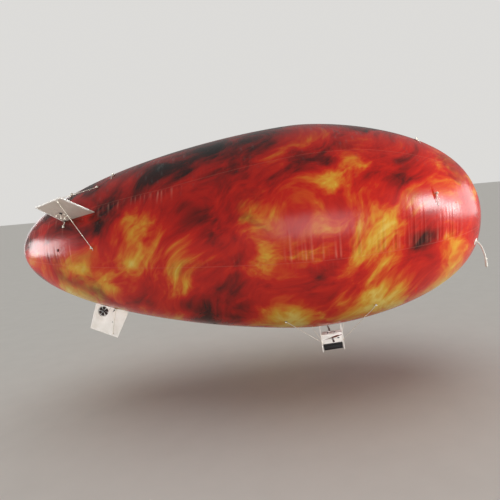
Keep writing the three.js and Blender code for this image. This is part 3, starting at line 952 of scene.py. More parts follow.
FINISHES = {
    "patch_film": film_finish("patch_film", 0.25, 0.03),
    # The welds' film is painted paler than the rest, as a highlight along each seam
    "weld_film_painted_highlight": film_finish("weld_film_painted_highlight", 0.25, 0.08),
    # The upper fins' foam board is painted darker and warmer than white_board, as the shade on their
    # undersides
    "foam_board": foam_finish("foam_board", "dcd1c6", "cfc3b7"),
    "white_board": foam_finish("white_board", "f4f1ec", "e8e3db"),
    "edge_tape": tape_finish("edge_tape"),
    "cord": cord_finish("cord"),
    "sleeve_film": sleeve_finish("sleeve_film"),
    "black_plastic": moulded_finish("black_plastic", "16171a", "232428"),
    "white_plastic": moulded_finish("white_plastic", "ece8e1", "dcd6cd", 0.4),
    "motor_metal": metal_finish("motor_metal", "b4b6b9"),
    "dark_metal": metal_finish("dark_metal", "4a4c50", 0.35),
    "carbon_tube": carbon_finish("carbon_tube"),
    "brown_blade": blade_finish("brown_blade", "8a5643", "663c2d"),
    "dark_blade": blade_finish("dark_blade", "3c1d1a", "28100f"),
    "copper_coil": coil_finish("copper_coil"),
    "red_lead": moulded_finish("red_lead", "a61e14", "7d1710", 0.35),
    "black_lead": moulded_finish("black_lead", "17171a", "222226", 0.35),
}


def dress(piece, finish, body="airframe", replaces=()):
    """Gives a piece its finish and its body, and hides the CAD nodes it replaces where there are any."""
    piece.data.materials.clear()
    piece.data.materials.append(FINISHES[finish])
    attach(piece, body)
    if replaces:
        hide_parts(*replaces)
    return piece


def finished(piece, matrix, finish, body="airframe", angle=USUAL_ANGLE, replaces=()):
    """Smooths a piece, moves it from its own axes to its place, and dresses it."""
    smooth(piece, angle)
    placed(piece, matrix)
    return dress(piece, finish, body, replaces)


# Pieces that lie on the film
def sheet_grid(name, columns, rows):
    """A flat grid from -1 to 1 both ways."""
    bpy.ops.object.select_all(action="DESELECT")
    bpy.ops.mesh.primitive_grid_add(x_subdivisions=columns, y_subdivisions=rows, size=2)
    return added(name)


def thickened(sheet, thickness, side):
    """Gives a sheet its thickness: out along its normals where side is 1, both ways where it is 0."""
    apply_modifier(sheet, "SOLIDIFY", thickness=thickness, offset=side)
    face_out(sheet)


def rounded_off(square):
    """The X and Y of a square grid's corners, drawn in to a round one of radius 1."""
    x, y = square[:, 0], square[:, 1]
    return x * np.sqrt(1 - y**2 / 2), y * np.sqrt(1 - x**2 / 2)


def on_film(piece, station, clock, offset):
    """Lays a flat mesh on the film: its X runs to the nose, its Y across, its Z is height."""
    frame_here = np.array(skin_frame(station, clock))
    rows = corners(piece)
    flat = rows * (1, 1, 0)
    spots = flat @ frame_here[:3, :3].T + frame_here[:3, 3]
    clocks = np.degrees(np.arctan2(spots[:, 2], -spots[:, 1]))
    set_corners(piece, on_skin(spots[:, 0], clocks, offset + rows[:, 2]))
    return piece


PATCH = Table(rows=12, thickness=0.0015, lift=0.0012, edge=0.3, edge_angle=50)


def film_patch(patch, flat, station, clock, lift, thickness):
    """Lays a flat grid's corners on the film, as a sheet with soft edges."""
    set_corners(patch, flat)
    on_film(patch, station, clock, lift)
    thickened(patch, thickness, 1)
    round_edges(patch, thickness * PATCH.edge, angle=PATCH.edge_angle)
    smooth(patch)
    return patch


def film_disc(name, station, clock, radius):
    """A round patch that lies on the film."""
    disc = sheet_grid(name, PATCH.rows, PATCH.rows)
    x, y = rounded_off(corners(disc))
    flat = np.stack([x * radius, y * radius, 0 * x], axis=-1)
    return film_patch(disc, flat, station, clock, PATCH.lift, PATCH.thickness)


# Welded seams: the rings that stay free at each end, and the least radius a strip is laid at
TAPE = Table(width=0.010, height=0.0009, rings=420, margin=6, lift=0.0006, least=0.05)


def make_seam_tapes():
    """The welded overlap along each seam, as a thin raised strip."""
    for number in range(GORES.count):
        clock = GORES.first_seam + 360 / GORES.count * number
        tape = sheet_grid(f"seam_weld_{number + 1}", TAPE.rings, 2)
        square = corners(tape)
        stations = ring_stations()
        ring = (square[:, 0] + 1) / 2 * (len(stations) - 1 - 2 * TAPE.margin) + TAPE.margin
        station = np.interp(ring, np.arange(len(stations)), stations)
        swing = square[:, 1] * TAPE.width / 2 / np.maximum(skin_radius(station), TAPE.least)
        set_corners(tape, on_skin(station, drifted(station, clock) + np.degrees(swing), TAPE.lift))
        thickened(tape, TAPE.height, 1)
        smooth(tape, ROUND_ANGLE)
        # The weld is painted paler, as a highlight on the seam
        dress(tape, "weld_film_painted_highlight")


# Caps at the poles: they are laid on the first part of the form behind each pole
CAP = Table(rows=28, radius=0.150, lift=0.0015, thickness=0.002, part=0.14, steps=600)


def make_pole_cap(name, pole, replaced):
    """A round cap over the gores' ends."""
    cap = sheet_grid(name, CAP.rows, CAP.rows)
    square = corners(cap)
    x, y = rounded_off(square)
    run = np.sqrt(x**2 + y**2) * CAP.radius
    clock = np.degrees(np.arctan2(square[:, 1], square[:, 0]))
    near_pole = pole * (1 - CAP.part * np.linspace(0, 1, CAP.steps) ** 2)
    station = np.interp(run, skin_radius(near_pole), near_pole)
    set_corners(cap, on_skin(station, clock, CAP.lift))
    thickened(cap, CAP.thickness, 1 if pole > 0 else -1)
    smooth(cap)
    dress(cap, "patch_film", replaces=[replaced])


# Filler sleeve: its route is the construction's, as columns of steps out of the film and down
SLEEVE = Table(station=2.600, clock=-29, collar=0.040, step=0.004, fold=0.016, crush=0.007)
SLEEVE_ROUTE = [
    (-0.010, 0.0),
    (0.030, 0.008),
    (0.062, 0.038),
    (0.088, 0.092),
    (0.106, 0.160),
    (0.112, 0.228),
]
SLEEVE_END = (0.003, 0.0, -0.034)

# The sleeve's radius, with its neck under the tie: columns are share of its length and radius
SLEEVE_PROFILE = [
    (0.0, 0.030),
    (0.05, 0.019),
    (0.12, 0.0095),
    (0.3, 0.0088),
    (0.55, 0.009),
    (0.655, 0.0085),
    (0.69, 0.0055),
    (0.72, 0.0085),
    (0.80, 0.0135),
    (0.95, 0.013),
    (1.0, 0.004),
]


def sleeve_line():
    """Points down the middle of the sleeve, from the film to its end."""
    root = Vector(on_skin(SLEEVE.station, SLEEVE.clock))
    normal = skin_normal(SLEEVE.station, SLEEVE.clock)
    points = [root + normal * out - Vector((0, 0, drop)) for out, drop in SLEEVE_ROUTE]
    return points + [points[-1] + Vector(SLEEVE_END)]


def make_sleeve():
    """A soft crumpled tube that hangs from its collar."""
    line = curved(sleeve_line(), SLEEVE.step)
    radius = np.interp(np.linspace(0, 1, len(line)), *zip(*SLEEVE_PROFILE))
    sleeve = tube("filler_tube", [line], 1.0, resolution=9, radii=[radius])
    apply_modifier(sleeve, "SUBSURF", levels=1, render_levels=1)
    folds = bpy.data.textures.new("sleeve_folds", "CLOUDS")
    folds.noise_scale = SLEEVE.fold
    depth = SLEEVE.crush
    apply_modifier(sleeve, "DISPLACE", texture=folds, strength=depth, mid_level=0.5, texture_coords="LOCAL")
    collar = film_disc("sleeve_collar", SLEEVE.station, SLEEVE.clock, SLEEVE.collar)
    sleeve = joined("filler_tube", [sleeve, collar])
    smooth(sleeve, SOFT_ANGLE)
    dress(sleeve, "sleeve_film", replaces=["filler_sleeve"])


TIE = Table(turns=3.5, steps=60, radius=0.0098, climb=0.0022, start=-0.0075, cord=0.0017)
TIE_KNOT = (0.005, 0.0016)

# The tie's two ends, from its last and its first point: columns are steps across the sleeve both
# ways, along it and up
TIE_ENDS = [
    (-1, [(0.004, 0, -0.002, 0), (0, 0.004, 0, -0.016)]),
    (0, [(0.004, 0, 0, 0), (0.003, 0, 0, -0.020)]),
]


def make_sleeve_tie():
    """Cord wound round the sleeve's neck, with a knot and two ends."""
    low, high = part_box("filler_tie")
    place = (low + high) / 2
    points = sleeve_line()
    axis = (points[5] - points[3]).normalized()
    side = axis.orthogonal().normalized()
    other = axis.cross(side)
    wound = []
    for turn in np.linspace(0, TIE.turns * 2 * np.pi, TIE.steps):
        level = axis * (TIE.climb * turn / np.pi + TIE.start)
        wound.append(place + level + (side * math.cos(turn) + other * math.sin(turn)) * TIE.radius)
    lines = [np.array([tuple(spot) for spot in wound])]
    for at, steps in TIE_ENDS:
        spots = [wound[at]]
        for across, aside, along, up in steps:
            spots.append(wound[at] + side * across + other * aside + axis * along + Vector((0, 0, up)))
        lines.append(curved(spots, FINE_STEP))
    tie = tube("filler_cord", lines, TIE.cord)
    tie = joined("filler_cord", [tie, knot("tie_knot", wound[-1], *TIE_KNOT)])
    dress(tie, "cord", replaces=["filler_tie"])


# Fins
FIN = Table(
    station=-1.815,
    tilt=25,
    root_chord=0.432,
    tip_chord=0.368,
    span=0.389,
    thickness=0.012,
    root_gap=0.0045,
    columns=26,
    edge=0.0012,
)
FINS = [("right", 30), ("left", 150), ("lower", -90)]

# A tool of this length cuts through any board
CUT = 0.1

# How far along a line the film is looked for, and how often the span is halved
SEARCH = Table(reach=0.3, steps=28)


def outward(clock):
    """Direction straight out from the long axis."""
    turn = math.radians(clock)
    return Vector((0, -math.cos(turn), math.sin(turn)))


def fin_frame(clock):
    """Axes of a fin: X forward along its root, Y out along its span, Z through its thickness."""
    tilt = math.radians(FIN.tilt)
    ahead, radial = Vector((1, 0, 0)), outward(clock)
    along = ahead * math.cos(tilt) + radial * math.sin(tilt)
    out = radial * math.cos(tilt) - ahead * math.sin(tilt)
    axes = Matrix((along, out, along.cross(out))).transposed().to_4x4()
    origin = radial * float(skin_radius(FIN.station)) + ahead * FIN.station
    return Matrix.Translation(origin) @ axes


def to_film(point, inward, offset=0.0):
    """Where a line through a point, going inwards, meets the film."""
    low, high = -SEARCH.reach, SEARCH.reach
    for _ in range(SEARCH.steps):
        middle = (low + high) / 2
        spot = point + inward * middle
        clock = math.degrees(math.atan2(spot.z, -spot.y))
        level = float(skin_radius(spot.x) - gore_dip(spot.x, clock)) + offset
        if math.hypot(spot.y, spot.z) < level:
            high = middle
        else:
            low = middle
    return point + inward * low


def fin_plan(name, clock):
    """The fin's flat outline as a grid whose root edge follows the film."""
    frame_here = fin_frame(clock)
    back = frame_here.inverted()
    inward = -(frame_here.to_3x3() @ Vector((0, 1, 0)))
    plan = sheet_grid(name, FIN.columns, 1)
    places = []
    for x, y, _ in corners(plan):
        out = FIN.span if y > 0 else 0.0
        chord = FIN.tip_chord if y > 0 else FIN.root_chord
        spot = Vector((x * chord / 2, out, 0))
        if y < 0:
            spot = back @ to_film(frame_here @ spot, inward, FIN.root_gap)
            chord = FIN.root_chord + (FIN.tip_chord - FIN.root_chord) * spot.y / FIN.span
            spot.x = x * (chord / 2)
        places.append(tuple(spot))
    set_corners(plan, places)
    return plan


ROTOR = Table(along=-0.096, out=0.125, hole=0.070)

# Eyelets in the boards: columns are fin, place along and out, bore and ring's thickness
EYELETS = [
    ("right", -0.074, 0.166, 0.0050, 0.0036),
    ("right", -0.053, 0.110, 0.0040, 0.0030),
    ("left", -0.074, 0.166, 0.0050, 0.0036),
    ("left", -0.053, 0.110, 0.0040, 0.0030),
    ("lower", 0.060, 0.217, 0.0030, 0.0018),
    ("lower", 0.034, 0.062, 0.0040, 0.0030),
]


def make_fin(name, clock):
    """A foam board whose root follows the film, with its tie holes and, below, the rotor's hole."""
    board = fin_plan("board_" + name, clock)
    thickened(board, FIN.thickness, 0)
    if name == "lower":
        subtract(board, cylinder("cutter", ROTOR.hole, CUT, (ROTOR.along, ROTOR.out, 0), 64))
    for owner, along, out, bore, _ in EYELETS:
        if owner == name:
            subtract(board, cylinder("cutter", bore, CUT, (along, out, 0), 20))
    round_edges(board, FIN.edge, angle=50)
    # The upper fins get the board painted darker, as shade; the lower fin's is plain white board
    finish = "white_board" if name == "lower" else "foam_board"
    finished(board, fin_frame(clock), finish, replaces=["fin_" + name])


# Edge tapes: a gap off the board, a foot above the root, an overlap at the tip as a share of the
# width, and how far the room for the board is longer and deeper than the tape
EDGE_TAPE = Table(
    width=0.012,
    gap=0.0001,
    thickness=0.0006,
    tip_thickness=0.0012,
    foot=0.045,
    overlap=0.6,
    longer=1.2,
    deeper=0.01,
)


def tape_bar(side, thick, outer):
    """A bar round one free edge: side is -1 for the rear edge, 1 for the front and 0 for the tip."""
    width = EDGE_TAPE.width
    slope = (FIN.root_chord - FIN.tip_chord) / 2 / FIN.span
    bar = cube("tape", (1, 1, 1))
    made = []
    for x, y, z in corners(bar):
        if side:
            out = EDGE_TAPE.foot if y < 0 else FIN.span - width * EDGE_TAPE.overlap
            reach = FIN.root_chord / 2 - slope * out
            made.append((side * (reach + thick if x > 0 else reach - width), out, z * 2 * outer))
        else:
            reach = FIN.tip_chord / 2 + thick
            made.append((x * 2 * reach, FIN.span + (thick if y > 0 else -width), z * 2 * outer))
    set_corners(bar, made)
    face_out(bar)
    return bar


def hollow_out(bar, side, thick, share):
    """Takes the board's room out of a bar, which leaves it open towards the board."""
    core = copy_of(bar, "core")
    rows = corners(core)
    middle = rows.mean(axis=0)
    rows = (rows - middle) * (1, 1, share) + middle
    across, along, sign = (0, 1, side) if side else (1, 0, 1)
    rows[:, across] -= sign * thick
    rows[:, along] = middle[along] + (rows[:, along] - middle[along]) * EDGE_TAPE.longer
    inner = rows[:, across] * sign < middle[across] * sign
    rows[inner, across] -= EDGE_TAPE.deeper * sign
    set_corners(core, rows)
    subtract(bar, core)


def make_edge_tape(name, clock):
    """White tape folded over the three free edges of a fin."""
    half = FIN.thickness / 2 + EDGE_TAPE.gap
    strips = []
    for side in (-1, 1, 0):
        thick = EDGE_TAPE.thickness if side else EDGE_TAPE.tip_thickness
        strip = tape_bar(side, thick, half + thick)
        hollow_out(strip, side, thick, half / (half + thick))
        strips.append(strip)
    finished(joined("edge_tape_" + name, strips), fin_frame(clock), "edge_tape")


EYELET = Table(sink=0.8, lift=0.0006)


def make_grommets():
    """Dark eyelets in the boards, on both faces."""
    rings = []
    for owner, along, out, bore, wire in EYELETS:
        frame_here = fin_frame(dict(FINS)[owner])
        for side in (-1, 1):
            level = side * (FIN.thickness / 2 + EYELET.lift)
            ring = ring_of("ring", bore + wire * EYELET.sink, wire, (along, out, level))
            rings.append(placed(ring, frame_here))
    dress(joined("fin_eyelets", rings), "black_plastic")


# Lacing under each upper fin: it runs through the eyelets, past the fin's root and on to the film.
# Points in the fin's axes, height counted down from the middle of the board, then on the film:
# columns there are station, clock angle and lift.
LACING = [
    (-0.074, 0.166, 0.010),
    (-0.064, 0.138, 0.013),
    (-0.053, 0.110, 0.011),
    (-0.110, 0.082, 0.024),
]
LACING_FOOT = [(-1.985, 31.0, 0.020), (-2.000, 28.0, 0.010), (-2.010, 24.5, 0.006)]

# Cord locks on the lacing: columns are place along and out, radius and height
CORD_LOCKS = [(-0.074, 0.166, 0.0150, 0.012), (-0.053, 0.110, 0.0100, 0.009)]

# Loose ends under the locks: columns are place along and out, step along and length
LACE_ENDS = [(-0.074, 0.166, -0.050, 0.016), (-0.074, 0.166, 0.006, 0.045), (-0.053, 0.110, 0.034, 0.024)]

# Knots by size and radius, how the loose ends start under the board and hang out of its plane, and
# the bead by radius and height
LACE = Table(
    foot_knot=(0.016, 0.0044),
    turn_knot=(0.014, 0.0040),
    end_knot=0.009,
    end=0.0030,
    start=0.016,
    out=0.012,
    bow=(0.3, 0.010, 0.2),
    bead=(0.009, 0.016),
    patch=0.022,
)


def lace_cord(name, frame_here, side, spots):
    """The lace with its knots and loose ends, which hang under the board."""
    pieces = [
        cord("lace", spots),
        knot("knot", spots[-1], *LACE.foot_knot),
        knot("knot", spots[3], *LACE.turn_knot),
    ]
    ahead, out, up = LACE.bow
    for x, y, step, length in LACE_ENDS:
        top = frame_here @ Vector((x, y, -side * LACE.start))
        low = top + Vector((step, side * LACE.out, -length))
        middle = top.lerp(low, 0.5) + Vector((step * ahead, side * out, length * up))
        pieces.append(cord("end", [top, middle, low], LACE.end))
        pieces.append(knot("knot", low, LACE.end_knot))
    dress(joined("fin_lacing_" + name, pieces), "cord")


def make_lacing(name, clock, side):
    """Cord laced through a fin's eyelets, with cord locks and a patch: side is -1 on the right."""
    frame_here = fin_frame(clock)
    spots = [tuple(frame_here @ Vector((x, y, -side * z))) for x, y, z in LACING]
    for station, spin, lift in LACING_FOOT:
        spots.append(tuple(on_skin(station, spin if side < 0 else 180 - spin, lift)))
    lace_cord(name, frame_here, side, spots)
    locks = []
    for x, y, radius, height in CORD_LOCKS:
        lock = rounded_hub("lock", radius, height, (x, y, -side * (FIN.thickness + height) / 2))
        locks.append(placed(lock, frame_here))
    bead = Vector(spots[-3]).lerp(Vector(spots[-2]), 0.5)
    locks.append(rounded_hub("bead", *LACE.bead, tuple(bead), 20))
    dress(joined("cord_locks_" + name, locks), "black_plastic")
    station, spin, _ = LACING_FOOT[-1]
    patch = film_disc("lacing_patch_" + name, station, spin if side < 0 else 180 - spin, LACE.patch)
    dress(patch, "patch_film")


# Black cable from the film into the lower fin, on its right face, in the fin's axes
ROOT_CABLE = Table(
    route=[
        (0.026, 0.088, -0.0085),
        (0.034, 0.062, -0.0120),
        (0.044, 0.034, -0.0150),
        (0.052, 0.004, -0.0260),
    ],
    radius=0.0035,
)


def make_root_cable():
    frame_here = fin_frame(-90)
    spots = [tuple(frame_here @ Vector(point)) for point in ROOT_CABLE.route]
    lead("root_cable", spots, "black_lead", "airframe", ROOT_CABLE.radius)


# Film strips at the fins' roots: how far they run past the root, their gap to the board, and size
FIN_PAD = Table(rows=(30, 4), past=0.012, gap=0.001, width=0.030, lift=0.0014, thickness=0.0022)


def make_fin_pad(name, clock):
    """Two film strips along the fin's root, one on each side of the board."""
    frame_here = fin_frame(clock)
    axes = frame_here.to_3x3()
    inward, across = -(axes @ Vector((0, 1, 0))), axes @ Vector((0, 0, 1))
    strips = []
    for side in (-1, 1):
        grid = sheet_grid("strip", *FIN_PAD.rows)
        made = []
        for x, y, _ in corners(grid):
            spot = frame_here @ Vector((x * (FIN.root_chord / 2 + FIN_PAD.past), 0, 0))
            swing = side * (FIN.thickness / 2 + FIN_PAD.gap + (y + 1) / 2 * FIN_PAD.width)
            spread = to_film(spot, inward) + across * swing
            spin = math.degrees(math.atan2(spread.z, -spread.y))
            made.append(tuple(on_skin(spread.x, spin, FIN_PAD.lift)))
        set_corners(grid, made)
        thickened(grid, FIN_PAD.thickness, -side)
        strips.append(grid)
    pad = joined("fin_pad_film_" + name, strips)
    smooth(pad)
    dress(pad, "patch_film", replaces=["fin_pad_" + name])


def ring_of(name, radius, wire, place=(0, 0, 0)):
    """A round ring of wire."""
    bpy.ops.object.select_all(action="DESELECT")
    bpy.ops.mesh.primitive_torus_add(
        location=place, major_radius=radius, minor_radius=wire, major_segments=32, minor_segments=10
    )
    made = added(name)
    smooth(made, ROUND_ANGLE)
    return made


# Patches that cords are tied to: the patch, the eyelet on it, and where a cord's end lies
TIED = Table(patch=0.030, ring=0.0105, wire=0.0042, lift=0.0035, cord=0.006)

# Radius of the loose cord ends at patches and clips, and of the loops
LOOSE = 0.0028


def tied_patch(name, station, clock, radius=TIED.patch):
    """A round film patch with a dark eyelet, where a cord is tied."""
    dress(film_disc(name, station, clock, radius), "patch_film")
    eyelet = ring_of(name + "_eyelet", TIED.ring, TIED.wire)
    placed(eyelet, skin_frame(station, clock, TIED.lift))
    dress(eyelet, "black_plastic")


# Stays: the clip's place on the fin, the patch's station and its angle from the fin, the cord, and
# the knots by size and radius
STAY = Table(
    along=0.114,
    inset=0.030,
    station=-1.646,
    swing=27,
    radius=0.0033,
    head=0.008,
    head_knot=0.0085,
    knot_at=0.006,
    foot_knot=(0.014, 0.0042),
    loose=[(0, 0, 0), (0.008, 0, -0.010), (0.012, 0, -0.028)],
)
BUTTON = Table(radius=0.011, height=0.006, middle=0.0033, edge=0.0015)


def make_stay(name, clock, side, tag):
    """Cord from a clip on one face of a fin to a patch on the film."""
    frame_here = fin_frame(clock)
    face = side * FIN.thickness / 2
    out = FIN.span - STAY.inset
    head = frame_here @ Vector((STAY.along, out, face + side * STAY.head))
    patch_clock = clock - side * STAY.swing
    anchor = Vector(on_skin(STAY.station, patch_clock, TIED.cord))
    along = (anchor - head).normalized()
    pieces = [
        rope("stay", [tuple(head), tuple(anchor)], STAY.radius),
        knot("knot", head + along * STAY.knot_at, STAY.head_knot),
        knot("knot", anchor, *STAY.foot_knot),
        cord("loose", [anchor + Vector(step) for step in STAY.loose], LOOSE),
    ]
    stay = joined(f"stay_{name}_{tag}", pieces)
    dress(stay, "cord", replaces=[f"fin_stay_{name}_{tag}"])
    tied_patch(f"stay_patch_{name}_{tag}", STAY.station, patch_clock)
    centre = (STAY.along, out, face + side * BUTTON.middle)
    button = cylinder(f"stay_button_{name}_{tag}", BUTTON.radius, BUTTON.height, centre, 32)
    round_edges(button, BUTTON.edge, 3)
    finished(button, frame_here, "white_plastic")


# Tail rotor
FAN = Table(
    blades=6,
    root=0.004,
    radius=0.061,
    fill=0.88,
    first=19,
    level=0.008,
    seat=(0.013, 0.0034),
    ring=0.0694,
    wall=0.0024,
    arms=(105, 225, 345),
    arm=(0.006, 0.003),
    arm_short=0.001,
    arm_level=-0.0045,
    edges=(0.0008, 0.0007),
    hub=(0.0100, 0.008),
    thickness=0.0026,
    pitch=(22, 12),
)


def rotor_frame():
    return fin_frame(-90) @ Matrix.Translation((ROTOR.along, ROTOR.out, 0))


# Section of a blade: how flat its rear edge is, how far it lies aft, and its camber
SECTION = Table(rear=0.35, aft=0.15, camber=0.09)


def blade(name, root, tip, chord, thickness, pitch, sides=20, rings=22):
    """A twisted blade along X: chord, thickness and pitch are functions of the share of its span."""
    bpy.ops.object.select_all(action="DESELECT")
    bpy.ops.mesh.primitive_uv_sphere_add(segments=sides, ring_count=rings, radius=1)
    made = added(name)
    ball = corners(made)
    share = (1 + ball[:, 2]) / 2
    spin = np.arctan2(ball[:, 1], ball[:, 0])
    pole = np.hypot(ball[:, 0], ball[:, 1]) < 1e-5
    across = np.where(pole, 0, np.cos(spin))
    up = np.where(pole, 0, np.sin(spin)) * (1 - SECTION.rear * across)
    width = chord(share) / 2
    y = across * width + SECTION.aft * width
    z = up * thickness(share) / 2 + (1 - across**2) * width * SECTION.camber
    turn = np.radians(pitch(share))
    turned_y = y * np.cos(turn) - z * np.sin(turn)
    turned_z = y * np.sin(turn) + z * np.cos(turn)
    set_corners(made, np.stack([root + (tip - root) * share, turned_y, turned_z], axis=-1))
    face_out(made)
    smooth(made, ROUND_ANGLE)
    return made


def turned_copies(piece, name, count):
    """A piece and its copies, turned evenly round Z."""
    turns = [Matrix.Rotation(2 * math.pi * number / count, 4, "Z") for number in range(1, count)]
    return joined(name, [piece, *(copy_of(piece, "copy", turn) for turn in turns)])


def rounded_hub(name, radius, height, centre, sides=32):
    hub = cylinder(name, radius, height, centre, sides)
    round_edges(hub, min(radius, height) * 0.22, 3)
    smooth(hub)
    return hub


def make_rotor_ring():
    """White ring in the fin's hole, and three dark arms that carry the motor's seat."""
    outer, level = FAN.ring, FAN.arm_level
    ring_edge, arm_edge = FAN.edges
    ring = cylinder("rotor_ring", outer, FIN.thickness, (0, 0, 0), 72)
    subtract(ring, cylinder("cutter", outer - FAN.wall, CUT, (0, 0, 0), 72))
    round_edges(ring, ring_edge)
    finished(ring, rotor_frame(), "white_plastic", replaces=["tail_motor_mount"])
    length = outer - FAN.arm_short
    parts = []
    for angle in FAN.arms:
        arm = cube("arm", (length, *FAN.arm), (length / 2, 0, level))
        round_edges(arm, arm_edge)
        parts.append(placed(arm, Matrix.Rotation(math.radians(angle), 4, "Z")))
    parts.append(rounded_hub("seat", *FAN.seat, (0, 0, level)))
    finished(joined("rotor_arms", parts), rotor_frame(), "black_plastic")


def make_fan():
    """Six broad blades on a domed hub."""
    root, reach = FAN.root, FAN.radius - FAN.root
    share_of_turn = FAN.fill * 2 * np.pi / FAN.blades
    pitch, washout = FAN.pitch
    one = blade(
        "fan_blade",
        root,
        FAN.radius,
        lambda s: share_of_turn * (root + reach * s) * np.sqrt(np.clip(1 - s**7, 0, 1)),
        lambda s: FAN.thickness * (1 - 0.5 * s),
        lambda s: pitch - washout * s,
    )
    fan = turned_copies(one, "tail_fan", FAN.blades)
    fan = joined("tail_fan", [fan, rounded_hub("hub", *FAN.hub, (0, 0, 0))])
    turn = Matrix.Rotation(math.radians(FAN.first), 4, "Z")
    placed(fan, rotor_frame() @ Matrix.Translation((0, 0, FAN.level)) @ turn)
    dress(fan, "dark_blade", "tail_propeller", replaces=["tail_propeller"])


# Motors along Z, from the base at low to the bell's top at high, with the spindle's end at its tip
ROTOR_MOTOR = Table(radius=0.011, low=0.0063, high=0.0258, spindle=0.0015, tip=-0.0055)
THRUST_MOTOR = Table(radius=0.014, low=0.0122, high=0.038, spindle=0.002, tip=0.0550)

# Parts of every motor as shares: levels of its length, the rest of its radius
MOTOR = Table(
    base_level=0.16,
    coil_level=0.34,
    base=0.92,
    coils=9,
    coil=0.26,
    coil_ring=0.6,
    coil_length=1.02,
    core=0.4,
)
BELL = Table(edge=0.12, slots=8, slot_ring=0.62, slot=(0.42, 0.2), slot_height=0.5)


def round_the_axis(count, radius, level):
    """Turns and places spaced evenly round Z."""
    for number in range(count):
        turn = 2 * math.pi * number / count
        yield turn, (radius * math.cos(turn), radius * math.sin(turn), level)


def slotted_bell(name, radius, low, high):
    """A motor's bell: a turned can with slots in its crown."""
    bell = cylinder(name, radius, high - low, (0, 0, (high + low) / 2), 64)
    round_edges(bell, radius * BELL.edge, 3)
    long, wide = BELL.slot
    for turn, centre in round_the_axis(BELL.slots, radius * BELL.slot_ring, high):
        tool = cube("cutter", (radius * long, radius * wide, (high - low) * BELL.slot_height))
        placed(tool, Matrix.Translation(centre) @ Matrix.Rotation(turn, 4, "Z"))
        subtract(bell, tool)
    smooth(bell, CRISP_ANGLE)
    return bell


def make_motor(name, node, matrix, size, body):
    """An outrunner motor, with its copper windings between the base and the bell."""
    radius, low, high, tip = size.radius, size.low, size.high, size.tip
    base = low + (high - low) * MOTOR.base_level
    coils = low + (high - low) * MOTOR.coil_level
    metal = [
        slotted_bell("bell", radius, coils, high),
        rounded_hub("base", radius * MOTOR.base, abs(base - low), (0, 0, (base + low) / 2), 40),
        rounded_hub("spindle", size.spindle, abs(tip - low), (0, 0, (tip + low) / 2), 20),
    ]
    turned = placed(joined(name + "_turned", metal), matrix)
    dress(turned, "motor_metal", body, replaces=[node])
    gap, middle = abs(coils - base), (coils + base) / 2
    copper = []
    for _, centre in round_the_axis(MOTOR.coils, radius * MOTOR.coil_ring, middle):
        copper.append(cylinder("coil", radius * MOTOR.coil, gap * MOTOR.coil_length, centre, 14))
    copper.append(cylinder("core", radius * MOTOR.core, gap, (0, 0, middle), 24))
    finished(joined(name + "_winding", copper), matrix, "copper_coil", body)


def lead(name, points, finish, body, radius):
    """A thin insulated wire along a smooth line."""
    return dress(tube(name, [curved(points, FINE_STEP)], radius, resolution=2), finish, body)


# Route of the rotor's first lead, in the rotor's axes, and the gap to the second one beside it
ROTOR_LEAD = [
    (0.009, 0.002, -0.008),
    (0.020, 0.004, -0.0085),
    (0.040, -0.004, -0.0082),
    (0.056, -0.018, -0.0084),
    (0.072, -0.050, -0.0072),
    (0.078, -0.100, -0.0072),
]
ROTOR_LEADS = Table(gap=0.0018, radius=0.0009)


def make_rotor():
    make_rotor_ring()
    make_fan()
    frame_here = rotor_frame()
    flipped = frame_here @ Matrix.Rotation(math.pi, 4, "X")
    make_motor("rotor_motor", "tail_motor", flipped, ROTOR_MOTOR, "airframe")
    for number, finish in enumerate(("red_lead", "black_lead")):
        shift = ROTOR_LEADS.gap * number
        spots = [frame_here @ Vector((x, y + shift, z)) for x, y, z in ROTOR_LEAD]
        lead(f"rotor_lead_{number + 1}", spots, finish, "airframe", ROTOR_LEADS.radius)


# Gondola, in its own axes: X ahead, Y to the left, Z up, origin at the middle of its box
GONDOLA = Table(
    station=0.938,
    drop=1.445,
    pitch=-4,
    plate_at=0.1365,
    plate=0.008,
    half=0.065,
    web=0.065,
    horn=0.041,
    leg=0.039,
    reach=0.165,
    box=(0.2644, 0.120, 0.118),
    wall=0.005,
    pod=(0.240, 0.104, 0.090),
    shaft=0.013,
    motor_span=0.200,
    lean=-10,
)


def gondola_frame():
    place = Matrix.Translation((GONDOLA.station, 0, -GONDOLA.drop))
    return place @ Matrix.Rotation(math.radians(GONDOLA.pitch), 4, "Y")


def bevel_picked(offset, segments):
    bpy.ops.mesh.bevel(offset=offset, segments=segments, affect="EDGES")


# End plates: rises of the horn and of its foot, the toe's size and where it starts, the gap to the
# film, where the film is looked for, and the corners by radius and segments
PLATE = Table(
    horn_rise=0.115,
    foot_rise=0.030,
    toe=(0.018, 0.004),
    toe_above=0.185,
    raised_above=0.2,
    film_near=0.22,
    film_gap=0.0012,
    web_corner=(0.014, 5),
    leg_corner=(0.007, 4),
    edge=0.0009,
)


def raise_to_film(piece):
    """Moves the upper end of a plate up to the film, in gondola axes."""
    frame_here = gondola_frame()
    back = frame_here.inverted()
    up = frame_here.to_3x3() @ Vector((0, 0, 1))
    rows = corners(piece)
    for number, row in enumerate(rows):
        if row[2] > PLATE.raised_above:
            near = frame_here @ Vector((row[0], row[1], PLATE.film_near))
            rows[number] = back @ to_film(near, up, PLATE.film_gap)
    set_corners(piece, rows)


